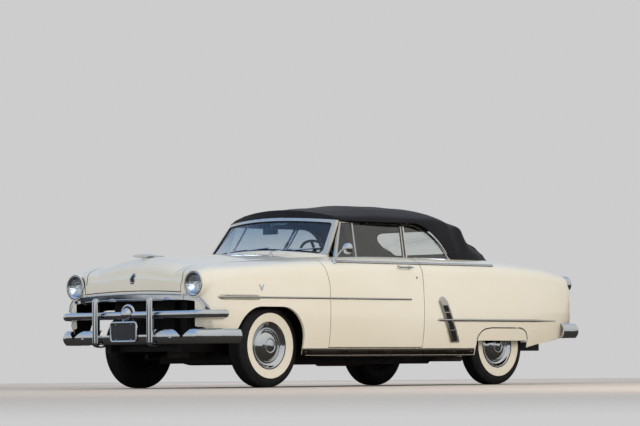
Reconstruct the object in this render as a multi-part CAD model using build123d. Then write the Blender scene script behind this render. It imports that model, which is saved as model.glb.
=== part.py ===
from build123d import *
import os
from math import cos, sin, radians, sqrt

# Full-size two-door convertible of the early 1950s, in millimetres.
# +Z is up, the front faces -Y and the left (driver's) side is +X.
# Lengths run in a layout frame; ORIGIN_SHIFT moves the car's middle to y = 0.
ORIGIN_SHIFT = 78
WHEELBASE = 2921
FRONT_AXLE_Y = -1674
REAR_AXLE_Y = FRONT_AXLE_Y + WHEELBASE
FRONT_TRACK = 1473
REAR_TRACK = 1422
TYRE_RADIUS = 345
TYRE_WIDTH = 172
TREAD_WIDTH = 122
BEAD_RADIUS = 194
HUB_Z = TYRE_RADIUS
KINGPIN_X = 640
KINGPIN_RADIUS = 20
KINGPIN_HALF = 95
SPINDLE_RADIUS = 16
PIN_CLEAR = 0.3
DRUM_RADIUS = 140

SKIN = 26
PANEL_GAP = 7
FAR = 1200

DOOR_AXIS_X = 943
DOOR_FRONT_Y = -1064
DOOR_TOP_FRONT_Y = -1112
DOOR_REAR_Y = 104
DOOR_BOTTOM_Z = 332
DOOR_INNER_X = 745
DOOR_REAR_SLANT = 24

HOOD_HALF_FRONT = 560
HOOD_HALF_REAR = 600
HOOD_REAR_Y = -1118
HOOD_LIP_Z = 806
HOOD_LIP_DROP = 80
TRUNK_FRONT_Y = 1500
TRUNK_HALF = 545
TRUNK_REAR_Z = 560

ARCH_TOP_Z = 664
SKIRT_Z = 387

GLASS_LOW = (762, 1085)
GLASS_HIGH = (618, 1405)
GLASS_THICK = 5
FRAME_THICK = 18
RAIL_Z = 1405
CANOPY_THICK = 14

HEADLAMP_X = 703
HEADLAMP_Z = 848
HEADLAMP_Y = -2400
LENS_RADIUS = 89
RIM_RADIUS = 103
TAIL_X = 775
TAIL_Y = 2195
TAIL_Z = 897
TAIL_RADIUS = 74

# Body sections: y, then (x, z) of the sill, widest line, shoulder, fender crest
# and valley beside the hood or deck, and last the height on the centre line.
BODY = (
    (-2452, 560, 520, 600, 660, 590, 800, 520, 872, 400, 875, 905),
    (-2425, 690, 490, 722, 660, 716, 835, 630, 925, 440, 922, 975),
    (-2390, 775, 462, 816, 655, 811, 852, 715, 960, 470, 958, 1025),
    (-2300, 832, 422, 868, 645, 860, 870, 765, 982, 492, 1000, 1074),
    (-2180, 855, 395, 896, 642, 885, 888, 795, 992, 505, 1012, 1092),
    (-1900, 872, 345, 918, 640, 906, 910, 820, 1010, 530, 1040, 1106),
    (-1300, 893, 262, 937, 640, 922, 935, 836, 1045, 560, 1070, 1130),
    (-600, 898, 250, 941, 640, 925, 948, 840, 1070, 580, 1086, 1138),
    (400, 898, 250, 941, 640, 925, 950, 840, 1073, 580, 1088, 1125),
    (1100, 895, 275, 938, 640, 922, 945, 838, 1065, 570, 1082, 1118),
    (1800, 872, 358, 915, 640, 900, 920, 812, 1028, 545, 1045, 1086),
    (2070, 838, 398, 880, 640, 870, 900, 780, 990, 520, 995, 1040),
    (2200, 790, 425, 838, 640, 835, 885, 742, 958, 495, 940, 985),
    (2310, 700, 460, 745, 640, 742, 850, 640, 900, 455, 850, 880),
)

# Greenhouse sections: y, half width at the belt, half width and height of the
# roof rail, height on the centre line, radius of the rounded rail.
ROOF = (
    (-1150, 735, 575, 1410, 1462, 50),
    (-860, 757, 604, 1430, 1503, 52),
    (-640, 775, 622, 1440, 1524, 55),
    (-193, 795, 648, 1446, 1563, 60),
    (150, 800, 654, 1446, 1579, 60),
    (500, 802, 650, 1438, 1574, 60),
    (800, 802, 625, 1405, 1532, 60),
    (940, 800, 614, 1388, 1494, 55),
    (1020, 795, 608, 1376, 1472, 50),
    (1100, 782, 590, 1318, 1402, 50),
    (1200, 740, 565, 1256, 1322, 45),
    (1330, 650, 520, 1162, 1208, 40),
    (1450, 560, 480, 1085, 1112, 30),
)
ROOF_BASE_Z = 1020


def body_face(row, outset):
    """Closed section of the body, grown by outset; a shrunk one opens the floor."""
    y, xs, zs, xm, zm, xd, zd, xt, zt, xv, zv, zc = row
    xs, xm, xd, xt = xs + outset, xm + outset, xd + outset, xt + 0.7 * outset
    zt, zv, zc = zt + outset, zv + outset, zc + outset
    if outset < 0:
        zs = 150
    low = TangentArc((xm, zm), (xs, zs), tangent=(0, -1))
    side = TangentArc((xm, zm), (xd, zd), tangent=(0, 1))
    shoulder = TangentArc((xd, zd), (xt, zt), tangent=side % 1)
    crest = TangentArc((xt, zt), (xv, zv), tangent=shoulder % 1)
    middle = ThreePointArc((xv, zv), (0, zc), (-xv, zv))
    half = [low, side, shoulder, crest]
    other = [edge.mirror(Plane.YZ) for edge in half]
    face = make_face(Curve() + half + [middle] + other + [Line((xs, zs), (-xs, zs))])
    return Plane(origin=(0, y, 0), x_dir=(1, 0, 0), z_dir=(0, -1, 0)) * face


def body_loft(outset):
    rows = [list(row) for row in BODY]
    rows[0][0] -= outset
    rows[-1][0] += outset
    return loft([body_face(row, outset) for row in rows])


def roof_face(row, inset):
    """Section of the greenhouse; an inset one reaches lower, to open the bottom."""
    y, x_base, x_rail, z_rail, z_mid, radius = row
    x_base, x_rail = x_base - inset, x_rail - inset
    z_rail, z_mid, z_base = z_rail - inset, z_mid - inset, ROOF_BASE_Z - 3 * inset
    base = Line((-x_base, z_base), (x_base, z_base))
    right = Line((x_base, z_base), (x_rail, z_rail))
    crown = ThreePointArc((x_rail, z_rail), (0, z_mid), (-x_rail, z_rail))
    left = Line((-x_rail, z_rail), (-x_base, z_base))
    face = make_face(Curve() + [base, right, crown, left])
    rails = face.vertices().sort_by(Axis.Y)[-2:]
    face = fillet(rails, radius)
    return Plane(origin=(0, y, 0), x_dir=(1, 0, 0), z_dir=(0, -1, 0)) * face


def roof_loft(inset):
    rows = [list(row) for row in ROOF]
    rows[0][0] -= 2 * inset
    rows[-1][0] -= inset
    return loft([roof_face(row, inset) for row in rows])


def side_prism(wire, x0, x1):
    """Extrudes a side-view outline, drawn in (y, z), from x0 to x1."""
    face = Plane.YZ * make_face(wire)
    return Pos(x0, 0, 0) * extrude(face, amount=x1 - x0, dir=(1, 0, 0))


def front_prism(wire, y0, y1):
    """Extrudes a front-view outline, drawn in (x, z), from y0 to y1."""
    face = Plane.XZ * make_face(wire)
    return Pos(0, y0, 0) * extrude(face, amount=y1 - y0, dir=(0, 1, 0))


def plan_prism(wire, z0, z1):
    return Pos(0, 0, z0) * extrude(make_face(wire), amount=z1 - z0, dir=(0, 0, 1))


def block(x0, x1, y0, y1, z0, z1):
    size = Box(x1 - x0, y1 - y0, z1 - z0)
    return Pos((x0 + x1) / 2, (y0 + y1) / 2, (z0 + z1) / 2) * size


def flip(shape):
    return shape.mirror(Plane.YZ)


def both(shape):
    return Compound(children=[*shape.solids(), *flip(shape).solids()])


def group(*shapes):
    return Compound(children=[solid for shape in shapes for solid in shape.solids()])


def rod(x, y, z, radius, length, axis=(1, 0, 0)):
    """Cylinder centred on (x, y, z) along an axis."""
    plane = Plane(origin=(x, y, z), z_dir=axis)
    return plane * Cylinder(radius, length)


def rounded(points, radius):
    """Closed outline through the points with every corner rounded."""
    return FilletPolyline(*points, radius=radius, close=True)


nodes = {}


# Skins and the volume inside them
outer = body_loft(0)
inner = body_loft(-SKIN)
near = body_loft(0.3)
proud = body_loft(6)
shell = outer - inner


def door_outline(grow):
    """Side-view outline of the left door, kinked forward under the windscreen post."""
    front, top_front = DOOR_FRONT_Y - grow, DOOR_TOP_FRONT_Y - grow
    rear, low = DOOR_REAR_Y + grow, DOOR_BOTTOM_Z - grow
    return Polyline(
        (front, low), (rear, low), (rear, FAR), (top_front, FAR),
        (top_front, 1040), (front, 860), close=True,
    )


def door_volume(grow, inner_x):
    """Door or its opening: the rear face slants so that the inner edge is shorter."""
    prism = side_prism(door_outline(grow), inner_x, 1000)
    rear = DOOR_REAR_Y + grow
    slant = DOOR_REAR_SLANT * (DOOR_AXIS_X - inner_x) / (DOOR_AXIS_X - DOOR_INNER_X)
    wedge = Polyline(
        (DOOR_AXIS_X, rear), (inner_x - 1, rear - slant), (inner_x - 1, rear + 50),
        (DOOR_AXIS_X, rear + 50), close=True,
    )
    return prism - plan_prism(wedge, 0, 1500)


def hood_outline(grow):
    front_y, rear_y = -2600, HOOD_REAR_Y + grow
    return Polyline(
        (-HOOD_HALF_FRONT - grow, front_y), (HOOD_HALF_FRONT + grow, front_y),
        (HOOD_HALF_REAR + grow, rear_y), (-HOOD_HALF_REAR - grow, rear_y), close=True,
    )


def trunk_outline(grow):
    return Polyline(
        (-TRUNK_HALF - grow, TRUNK_FRONT_Y - grow), (TRUNK_HALF + grow, TRUNK_FRONT_Y - grow),
        (TRUNK_HALF + grow, 2600), (-TRUNK_HALF - grow, 2600), close=True,
    )


def hood_volume(grow):
    """Hood or its opening: its front lip is bowed, lower at the sides."""
    low = HOOD_LIP_Z - grow
    above_lip = Curve() + [
        ThreePointArc((-FAR, low - HOOD_LIP_DROP), (0, low), (FAR, low - HOOD_LIP_DROP)),
        Polyline((FAR, low - HOOD_LIP_DROP), (FAR, 1500), (-FAR, 1500), (-FAR, low - HOOD_LIP_DROP)),
    ]
    return plan_prism(hood_outline(grow), 600, 1500) & front_prism(above_lip, -2700, 0)


def trunk_volume(grow):
    return plan_prism(trunk_outline(grow), TRUNK_REAR_Z - grow, 1500)


front_arch = Curve() + [
    Line((-1385, 100), (-1366, 400)),
    ThreePointArc((-1366, 400), (-1445, 590), (-1620, ARCH_TOP_Z)),
    Line((-1620, ARCH_TOP_Z), (-1850, ARCH_TOP_Z)),
    ThreePointArc((-1850, ARCH_TOP_Z), (-2035, 600), (-2125, 440)),
    Line((-2125, 440), (-2145, 100)),
    Line((-2145, 100), (-1385, 100)),
]
REAR_ARCH = (815, 1522, 498)
rear_front, rear_back, rear_top = REAR_ARCH
rear_arch = Curve() + [
    Line((rear_front - 30, 100), (rear_front, 378)),
    ThreePointArc((rear_front, 378), (rear_front + 75, 470), (rear_front + 190, rear_top)),
    Line((rear_front + 190, rear_top), (rear_back - 160, rear_top)),
    ThreePointArc((rear_back - 160, rear_top), (rear_back - 50, 480), (rear_back, 395)),
    Line((rear_back, 395), (rear_back + 20, 100)),
    Line((rear_back + 20, 100), (rear_front - 30, 100)),
]
# Grille opening and the bright brow over it, as front-view outlines
MOUTH_TOP_Z = 720
MOUTH_X = 705
BROW_TOP_Z = 783
mouth = Polyline((-MOUTH_X, 400), (MOUTH_X, 400), (MOUTH_X, MOUTH_TOP_Z - 12),
                 (600, MOUTH_TOP_Z), (-600, MOUTH_TOP_Z), (-MOUTH_X, MOUTH_TOP_Z - 12), close=True)
cabin_hole = Polyline(
    (-745, 1020), (-745, -880), (-400, -955), (400, -955), (745, -880), (745, 1020),
    (640, 1250), (400, 1350), (-400, 1350), (-640, 1250), close=True,
)

# The openings keep small hinge leaves, 0.3 mm from the panel that they carry
LEAF = 80
hood_leaf = block(380, 380 + LEAF, HOOD_REAR_Y + PIN_CLEAR, HOOD_REAR_Y + 2 * PANEL_GAP, 900, 1500)
trunk_leaf = block(350, 350 + LEAF, TRUNK_FRONT_Y - 2 * PANEL_GAP, TRUNK_FRONT_Y - PIN_CLEAR, 900, 1500)
cut_shell = shell - door_volume(PANEL_GAP, 700) - flip(door_volume(PANEL_GAP, 700))
cut_shell -= hood_volume(PANEL_GAP) - hood_leaf - flip(hood_leaf)
cut_shell -= trunk_volume(PANEL_GAP) - trunk_leaf - flip(trunk_leaf)
cut_shell -= plan_prism(cabin_hole, 900, 1500)
cut_shell -= side_prism(front_arch, -1000, -600) + side_prism(front_arch, 600, 1000)
cut_shell -= side_prism(rear_arch, -1000, -600) + side_prism(rear_arch, 600, 1000)
cut_shell -= front_prism(mouth, -2600, -2300)

# Panels meet at planes: nose between the fenders, cowl behind the hood, quarters
# with the sills under the doors, deck before the trunk lid and tail panel below it
NOSE_HALF = 580
COWL_HALF = 612
DECK_HALF = 560
door_front, door_rear = DOOR_FRONT_Y - PANEL_GAP, DOOR_REAR_Y + PANEL_GAP
lid_low = TRUNK_REAR_Z - PANEL_GAP / 2
lid_front = TRUNK_FRONT_Y - PANEL_GAP / 2
cowl_zone = block(-COWL_HALF, COWL_HALF, HOOD_REAR_Y, door_front, 800, 1500)
cowl_zone += block(-705, 705, door_front, -870, 800, 1500)
fender_zone = block(NOSE_HALF, 1000, -2700, door_front, 0, 1500)
fender_zone += block(HOOD_HALF_FRONT, NOSE_HALF, -2700, -1200, 781.5, 1500)
fender_zone -= cowl_zone
quarter_zone = block(700, 1000, door_front, door_rear, 0, 400)
quarter_zone += block(DECK_HALF, 1000, door_rear, 2700, 0, 1500)
quarter_zone += block(TRUNK_HALF, DECK_HALF, lid_front, 2700, lid_low, 1500)
fender = cut_shell & fender_zone
quarter = cut_shell & quarter_zone
nose = cut_shell & block(-NOSE_HALF, NOSE_HALF, -2700, -2300, 0, 1500)

# Round headlamp pods stand out of the fenders around a pocket for the rims
POD_RADIUS = RIM_RADIUS + 10
POD_FRONT_Y = HEADLAMP_Y - 42
POD_FLARE = 36


def lamp_fairing(grow):
    """Cone that fairs a lamp pod into its fender."""
    plane = Plane(origin=(HEADLAMP_X, POD_FRONT_Y + 75, HEADLAMP_Z), z_dir=(0, 1, 0))
    return plane * Cone(POD_RADIUS - 1 + grow, POD_RADIUS + POD_FLARE + grow, 130)


pod = rod(HEADLAMP_X, POD_FRONT_Y + 60, HEADLAMP_Z, POD_RADIUS, 120, (0, 1, 0))
pod = fillet(pod.edges().sort_by(Axis.Y)[0], 6)
pod += (lamp_fairing(0) & fender_zone) - hood_volume(PANEL_GAP) - front_prism(mouth, -2600, -2290)
pocket = rod(HEADLAMP_X, POD_FRONT_Y - 8, HEADLAMP_Z, RIM_RADIUS + PIN_CLEAR, 100, (0, 1, 0))
fender = fender + pod - pocket
nodes["fender_left"] = fender
nodes["fender_right"] = flip(fender)
nodes["quarter_left"] = quarter
nodes["quarter_right"] = flip(quarter)
nodes["nose_panel"] = nose - fender_zone - flip(fender_zone)
nodes["cowl_panel"] = cut_shell & cowl_zone
deck_zone = block(-DECK_HALF, DECK_HALF, 1000, TRUNK_FRONT_Y, 800, 1500)
nodes["deck_panel"] = cut_shell & (deck_zone - quarter_zone - flip(quarter_zone))
nodes["tail_panel"] = cut_shell & block(-DECK_HALF, DECK_HALF, 1900, 2700, 0, lid_low)

# Skirts fill the rear arches; lugs bring their top edge to the quarter panel
SKIRT_SEAM = 2
arch_zone = side_prism(rear_arch, 600, 1000) & block(600, 1000, 600, 1700, SKIRT_Z, 600)
skirt_zone = Pos(0, 0, -SKIRT_SEAM) * arch_zone
for y in (1060, 1260):
    skirt_zone += block(600, 1000, y - 20, y + 20, 440, rear_top - PIN_CLEAR)
skirt_zone &= block(600, 1000, rear_front + SKIRT_SEAM + 4, rear_back - SKIRT_SEAM, SKIRT_Z, 600)
nodes["fender_skirts"] = both(shell & skirt_zone)

nodes["hood"] = shell & hood_volume(0)
nodes["trunk_lid"] = shell & trunk_volume(0)
door = outer & door_volume(0, DOOR_INNER_X)
nodes["door_left"] = door
nodes["door_right"] = flip(door)


# Firewall with its pillars and hinge leaves, floors and wheel housings
FLOOR_Z = 300
FLOOR_THICK = 12
TUNNEL_HALF = 130
TUNNEL_TOP = 460
FIREWALL_Y = -1075
floor_section = Polyline(
    (-860, FLOOR_Z), (-TUNNEL_HALF - 40, FLOOR_Z), (-TUNNEL_HALF, TUNNEL_TOP),
    (TUNNEL_HALF, TUNNEL_TOP), (TUNNEL_HALF + 40, FLOOR_Z), (860, FLOOR_Z),
    (860, FLOOR_Z + FLOOR_THICK), (TUNNEL_HALF + 50, FLOOR_Z + FLOOR_THICK),
    (TUNNEL_HALF + 8, TUNNEL_TOP + FLOOR_THICK), (-TUNNEL_HALF - 8, TUNNEL_TOP + FLOOR_THICK),
    (-TUNNEL_HALF - 50, FLOOR_Z + FLOOR_THICK), (-860, FLOOR_Z + FLOOR_THICK), close=True,
)
HEEL_Y = 560
HEEL_THICK = 14
TRUNK_FLOOR_Z = 528
door_space = door_volume(PANEL_GAP, 700) + flip(door_volume(PANEL_GAP, 700))
floor = front_prism(floor_section, FIREWALL_Y, HEEL_Y - HEEL_THICK)
nodes["floor_pan"] = (floor - door_space) & inner

tunnel_hole = block(-TUNNEL_HALF, TUNNEL_HALF, -1200, 700, 200, TUNNEL_TOP)
heel = block(-600, 600, HEEL_Y - HEEL_THICK, HEEL_Y, FLOOR_Z, TRUNK_FLOOR_Z + FLOOR_THICK)
heel += block(-600, 600, HEEL_Y - HEEL_THICK, 2200, TRUNK_FLOOR_Z, TRUNK_FLOOR_Z + FLOOR_THICK)
nodes["trunk_floor"] = (heel - tunnel_hole) & inner

firewall = block(-860, 860, FIREWALL_Y - FLOOR_THICK, FIREWALL_Y, FLOOR_Z, 1030)
pillar = block(735, 885, -1180, door_front - 4, FLOOR_Z + 40, 1000)
firewall = (firewall - tunnel_hole + pillar + flip(pillar) - door_space) & inner
for z in (520, 760):
    leaf = block(780, 780 + LEAF, door_front - 4, DOOR_FRONT_Y - PIN_CLEAR, z, z + LEAF)
    firewall += leaf + flip(leaf)
nodes["firewall"] = firewall

# The hood rests on the inner fenders, which stand on the frame towers
TOWER_TOP = 458
under_hood = body_loft(-SKIN - PIN_CLEAR)
wheelhouse = Pos(0, REAR_AXLE_Y, HUB_Z) * Rot(0, 90, 0) * (Cylinder(402, 270) - Cylinder(390, 250))
wheelhouse = Pos(735, 0, 0) * wheelhouse & block(600, 862, 800, 1700, SKIRT_Z + 40, 800)
wheelhouse = wheelhouse & inner
inner_fender = block(438, 446, -2229, FIREWALL_Y - FLOOR_THICK - PIN_CLEAR, TOWER_TOP + PIN_CLEAR, 1100)
nodes["wheel_housings"] = both(group(wheelhouse, inner_fender & under_hood))

# Running gear
RAIL_X = 420
rail_side = Polyline(
    (-2330, 300), (-1950, 300), (-1350, 190), (700, 190), (960, 400), (1560, 400), (1900, 300),
    (2230, 300), (2230, 380), (1920, 380), (1600, 490), (920, 490), (660, 285), (-1330, 285),
    (-1930, 390), (-2330, 390), close=True,
)
rail = side_prism(rail_side, RAIL_X - 30, RAIL_X + 30)
CROSS = ((-2200, 305, 375), (-560, 195, 280), (640, 195, 280), (1760, 400, 440), (2200, 305, 375))
tower = block(RAIL_X - 30, RAIL_X + 30, FRONT_AXLE_Y - 60, FRONT_AXLE_Y + 60, 260, TOWER_TOP)
frame = rail + flip(rail) + tower + flip(tower)
for y in (-900, -200, 450):
    mount = block(RAIL_X - 25, RAIL_X + 25, y - 25, y + 25, 280, FLOOR_Z - PIN_CLEAR)
    frame += mount + flip(mount)
for y, z0, z1 in CROSS:
    frame += block(-RAIL_X, RAIL_X, y - 35, y + 35, z0, z1)
nodes["chassis_frame"] = frame

engine = block(-290, 290, -2020, -1290, 300, 900) + block(-150, 150, -1290, -1090, 250, 560)
for side in (-1, 1):
    engine += block(min(side * 289, side * (RAIL_X - 30)), max(side * 289, side * (RAIL_X - 30)),
                    -1700, -1600, 300, 330)
engine -= block(-700, 700, -1760, -1590, 200, 299)
nodes["engine_block"] = engine - frame
nodes["radiator"] = block(-330, 330, -2290, -2230, 375.3, 860) + block(-430, 430, -2240, -2230, 391, 900)

suspension = block(-RAIL_X, RAIL_X, FRONT_AXLE_Y - 70, FRONT_AXLE_Y + 70, 205, 290) - frame
for side in (-1, 1):
    for z, thick in ((HUB_Z - KINGPIN_HALF, -18), (HUB_Z + KINGPIN_HALF, 18)):
        gap = -PIN_CLEAR if thick < 0 else PIN_CLEAR
        z0, z1 = sorted((z + gap, z + gap + thick))
        arm = Polyline((RAIL_X + 30.3, -55), (KINGPIN_X, -24), (KINGPIN_X, 24), (RAIL_X + 30.3, 55), close=True)
        plate = plan_prism(arm, z0, z1) + rod(KINGPIN_X, 0, (z0 + z1) / 2, 30, z1 - z0, (0, 0, 1))
        plate = Pos(0, FRONT_AXLE_Y, 0) * plate
        suspension += plate if side > 0 else flip(plate)
nodes["front_suspension"] = suspension

hub_x = FRONT_TRACK / 2
knuckle = rod(KINGPIN_X, FRONT_AXLE_Y, HUB_Z, KINGPIN_RADIUS, 2 * KINGPIN_HALF, (0, 0, 1))
knuckle += rod((KINGPIN_X + hub_x) / 2, FRONT_AXLE_Y, HUB_Z, SPINDLE_RADIUS, hub_x - KINGPIN_X + 30)
knuckle += rod(KINGPIN_X + 14, FRONT_AXLE_Y, HUB_Z, 60, 20)
nodes["knuckle_left"] = knuckle
nodes["knuckle_right"] = flip(knuckle)

axle_half = REAR_TRACK / 2
rear_axle = rod(0, REAR_AXLE_Y, HUB_Z, 38, 2 * (axle_half - 62))
rear_axle += Pos(0, REAR_AXLE_Y, HUB_Z) * Sphere(118)
rear_axle += rod(0, REAR_AXLE_Y, HUB_Z, SPINDLE_RADIUS, 2 * (axle_half + 15))
rear_axle += rod(0, REAR_AXLE_Y - 150, HUB_Z, 50, 160, (0, 1, 0))
SPRING_X = 520
for side in (-1, 1):
    spring = side_prism(Curve() + [
        ThreePointArc((REAR_AXLE_Y - 640, 330), (REAR_AXLE_Y, 282), (REAR_AXLE_Y + 640, 350)),
        Line((REAR_AXLE_Y + 640, 350), (REAR_AXLE_Y + 640, 366)),
        ThreePointArc((REAR_AXLE_Y + 640, 366), (REAR_AXLE_Y, 308), (REAR_AXLE_Y - 640, 346)),
        Line((REAR_AXLE_Y - 640, 346), (REAR_AXLE_Y - 640, 330)),
    ], side * SPRING_X - 25, side * SPRING_X + 25)
    rear_axle += spring
    for y in (REAR_AXLE_Y - 630, REAR_AXLE_Y + 630):
        hanger = block(RAIL_X + 30.3, SPRING_X + 25, y - 12, y + 12, 335, 365 if y < 1500 else 375)
        rear_axle += hanger if side > 0 else flip(hanger)
nodes["rear_axle"] = rear_axle
shaft_front, shaft_rear = (-1089, 400), (REAR_AXLE_Y - 231, HUB_Z)
shaft_dir = (0, shaft_rear[0] - shaft_front[0], shaft_rear[1] - shaft_front[1])
shaft_len = sqrt(shaft_dir[1] ** 2 + shaft_dir[2] ** 2)
nodes["drive_shaft"] = rod(
    0, (shaft_front[0] + shaft_rear[0]) / 2, (shaft_front[1] + shaft_rear[1]) / 2, 34, shaft_len - 2 * PIN_CLEAR, shaft_dir)
EXHAUST_X = -300
pipe = rod(EXHAUST_X, 500, 235, 24, 3000, (0, 1, 0)) + rod(EXHAUST_X, 350, 235, 60, 520, (0, 1, 0))
nodes["exhaust"] = pipe - frame
nodes["fuel_tank"] = block(-330, 330, 1810, 2150, 385, TRUNK_FLOOR_Z - PIN_CLEAR)


# Wheels and tyres, turned about the X axis with the outer face towards +X
def wheel_profile():
    """Half section (radius, x from the tyre's middle) of rim, drum and full cover."""
    return Polyline(
        (SPINDLE_RADIUS + PIN_CLEAR, -40), (DRUM_RADIUS, -40), (DRUM_RADIUS, 10), (160, 14),
        (168, -62), (BEAD_RADIUS, -66), (BEAD_RADIUS, -54), (180, -50), (180, 40),
        (BEAD_RADIUS - 0.5, 56), (BEAD_RADIUS - 0.5, 66), (176, 78), (150, 62), (120, 44), (104, 60), (70, 80),
        (34, 88), (0, 92), (0, 40), (SPINDLE_RADIUS + PIN_CLEAR, 40), close=True,
    )


def tyre_profile():
    half, tread, r = TYRE_WIDTH / 2, TREAD_WIDTH / 2, TYRE_RADIUS
    outside = [
        Line((BEAD_RADIUS + 0.5, 50), (BEAD_RADIUS + 0.5, 66)),
        ThreePointArc((BEAD_RADIUS + 0.5, 66), (265, half), (r - 14, tread + 8)),
        ThreePointArc((r - 14, tread + 8), (r - 4, tread + 2), (r, tread - 8)),
    ]
    inside = [edge.mirror(Plane.XZ) for edge in outside]
    return Curve() + outside + [Line((r, tread - 8), (r, 8 - tread))] + inside + [
        Line((BEAD_RADIUS + 0.5, -50), (BEAD_RADIUS + 0.5, 50))]


def turned(profile, x):
    """Revolves a (radius, x) half section about the X axis and sets it at x."""
    face = Plane(origin=(0, 0, 0), x_dir=(0, 0, 1), z_dir=(0, 1, 0)) * make_face(profile)
    return Pos(x, 0, 0) * revolve(face, axis=Axis.X)


wheel = turned(wheel_profile(), 0)
tyre = turned(tyre_profile(), 0)
CORNERS = (("fl", 1, FRONT_TRACK / 2, FRONT_AXLE_Y), ("fr", -1, FRONT_TRACK / 2, FRONT_AXLE_Y),
           ("rl", 1, REAR_TRACK / 2, REAR_AXLE_Y), ("rr", -1, REAR_TRACK / 2, REAR_AXLE_Y))
for name, side, x, y in CORNERS:
    for kind, solid in (("wheel", wheel), ("tyre", tyre)):
        placed = Pos(x, y, HUB_Z) * solid
        nodes[kind + "_" + name] = placed if side > 0 else flip(placed)


# Windscreen: a curved slab between two plan arcs, cut by its outline
SCREEN = ((1060, 720, -905, -1075), (1560, 596, -560, -720))


def screen_slab(front, back):
    faces = []
    for z, half, y_corner, y_mid in SCREEN:
        arc = ThreePointArc((-half, y_corner + front), (0, y_mid + front), (half, y_corner + front))
        rear = ThreePointArc((-half, y_corner + back), (0, y_mid + back), (half, y_corner + back))
        edges = Curve() + [arc, Line((half, y_corner + front), (half, y_corner + back)), rear,
                           Line((-half, y_corner + back), (-half, y_corner + front))]
        faces.append(Pos(0, 0, z) * make_face(edges))
    return loft(faces)


def header_zone(low):
    """Space over the bright header strip, where the cloth wraps the front bow."""
    edge = Curve() + [
        ThreePointArc((-660, low - 33), (0, low), (660, low - 33)),
        Polyline((660, low - 33), (660, 1700), (-660, 1700), (-660, low - 33)),
    ]
    return front_prism(edge, -1300, -300)


def screen_hole(grow):
    low, high, corner_z = 668 + grow, 612 + grow, 1390 + grow
    outline = Curve() + [
        ThreePointArc((-low, 1120 - grow), (0, 1164 - grow), (low, 1120 - grow)),
        Line((low, 1120 - grow), (high, corner_z)),
        ThreePointArc((high, corner_z), (0, corner_z + 31), (-high, corner_z)),
        Line((-high, corner_z), (-low, 1120 - grow)),
    ]
    face = make_face(outline)
    face = fillet(face.vertices(), 30)
    return Pos(0, -1300, 0) * extrude(Plane.XZ * face, amount=1000, dir=(0, 1, 0))


HEADER_Z = 1447
roof_outer = roof_loft(0)
roof_inner = roof_loft(CANOPY_THICK)
screen_frame = (screen_slab(0, 34) - screen_hole(0)) & roof_outer
screen_frame -= near + header_zone(HEADER_Z)
mirror_stem = block(-4, 4, -786, -700, 1430, 1438) + block(-95, 95, -712, -700, 1390, 1445)
nodes["fixed_glass"] = (screen_slab(14, 20) & screen_hole(-0.3)) - near


# Side windows: flat slabs leaning inwards, cut by side-view outlines
def leaning(x_offset, thick):
    (x_low, z_low), (x_high, z_high) = GLASS_LOW, GLASS_HIGH
    slope = (x_high - x_low) / (z_high - z_low)
    bottom, top = x_low + slope * (1040 - z_low) + x_offset, x_low + slope * (1450 - z_low) + x_offset
    outline = Polyline((bottom, 1040), (bottom + thick, 1040), (top + thick, 1450), (top, 1450), close=True)
    return front_prism(outline, -1200, 1200)


door_window = Polyline((-858, 1060), (-624, RAIL_Z), (156, RAIL_Z), (39, 1060), close=True)
door_pane = Polyline((-826, 1060), (-612, RAIL_Z - 14), (135, RAIL_Z - 14), (23, 1060), close=True)
quarter_window = Curve() + [
    Line((174, RAIL_Z), (285, RAIL_Z)),
    ThreePointArc((285, RAIL_Z), (545, 1272), (648, 1060)),
    Line((648, 1060), (57, 1060)),
    Line((57, 1060), (174, RAIL_Z)),
]
quarter_pane = Curve() + [
    Line((186, RAIL_Z - 14), (276, RAIL_Z - 14)),
    ThreePointArc((276, RAIL_Z - 14), (528, 1260), (626, 1060)),
    Line((626, 1060), (74, 1060)),
    Line((74, 1060), (186, RAIL_Z - 14)),
]
frame_slab = leaning(-6, FRAME_THICK)
pane_slab = leaning(0, GLASS_THICK)
door_frame = (frame_slab & side_prism(door_window, 500, 900)) - side_prism(door_pane, 500, 900)
vent_outline = Polyline((-476, RAIL_Z), (-460, RAIL_Z), (-568, 1060), (-584, 1060), close=True)
vent_bar = side_prism(vent_outline, 500, 900)
door_frame += frame_slab & vent_bar
door_frame -= near
door_glass = (pane_slab & side_prism(door_pane, 500, 900)) - vent_bar - near
quarter_frame = (frame_slab & side_prism(quarter_window, 500, 900)) - side_prism(quarter_pane, 500, 900)
quarter_frame -= near
quarter_glass = (pane_slab & side_prism(quarter_pane, 500, 900)) - near
nodes["window_frames"] = group(screen_frame + mirror_stem, both(quarter_frame))

# Soft top: the greenhouse skin with its window openings and back light
window_cut = Curve() + [
    Line((-1200, RAIL_Z + 7), (290, RAIL_Z + 7)),
    ThreePointArc((290, RAIL_Z + 7), (552, 1278), (658, 1050)),
    Line((658, 1050), (658, 900)),
    Line((658, 900), (-1200, 900)),
    Line((-1200, 900), (-1200, RAIL_Z + 7)),
]
canopy = (roof_outer - roof_inner).solids().sort_by(SortBy.VOLUME)[0]
canopy -= side_prism(window_cut, 500, 1000) + side_prism(window_cut, -1000, -500)
canopy -= screen_slab(-900, 35)
header_bow = screen_slab(3, 35) & roof_outer & header_zone(HEADER_Z + PIN_CLEAR)
back_light = rounded([(-330, 1180), (330, 1180), (290, 1370), (-290, 1370)], 40)
back_hole = Pos(0, 900, 0) * extrude(Plane.XZ * make_face(back_light), amount=600, dir=(0, 1, 0))
canopy -= back_hole
canopy -= near
nodes["soft_top"] = group(canopy.solids().sort_by(SortBy.VOLUME)[-1], header_bow - near)
back_pane = (roof_loft(5) & back_hole) - roof_loft(9)
nodes["fixed_glass"] = group(nodes["fixed_glass"], both(quarter_glass), back_pane)


# Bright side mouldings: layers of the skin cut by side-view outlines
layer = proud - near


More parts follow.
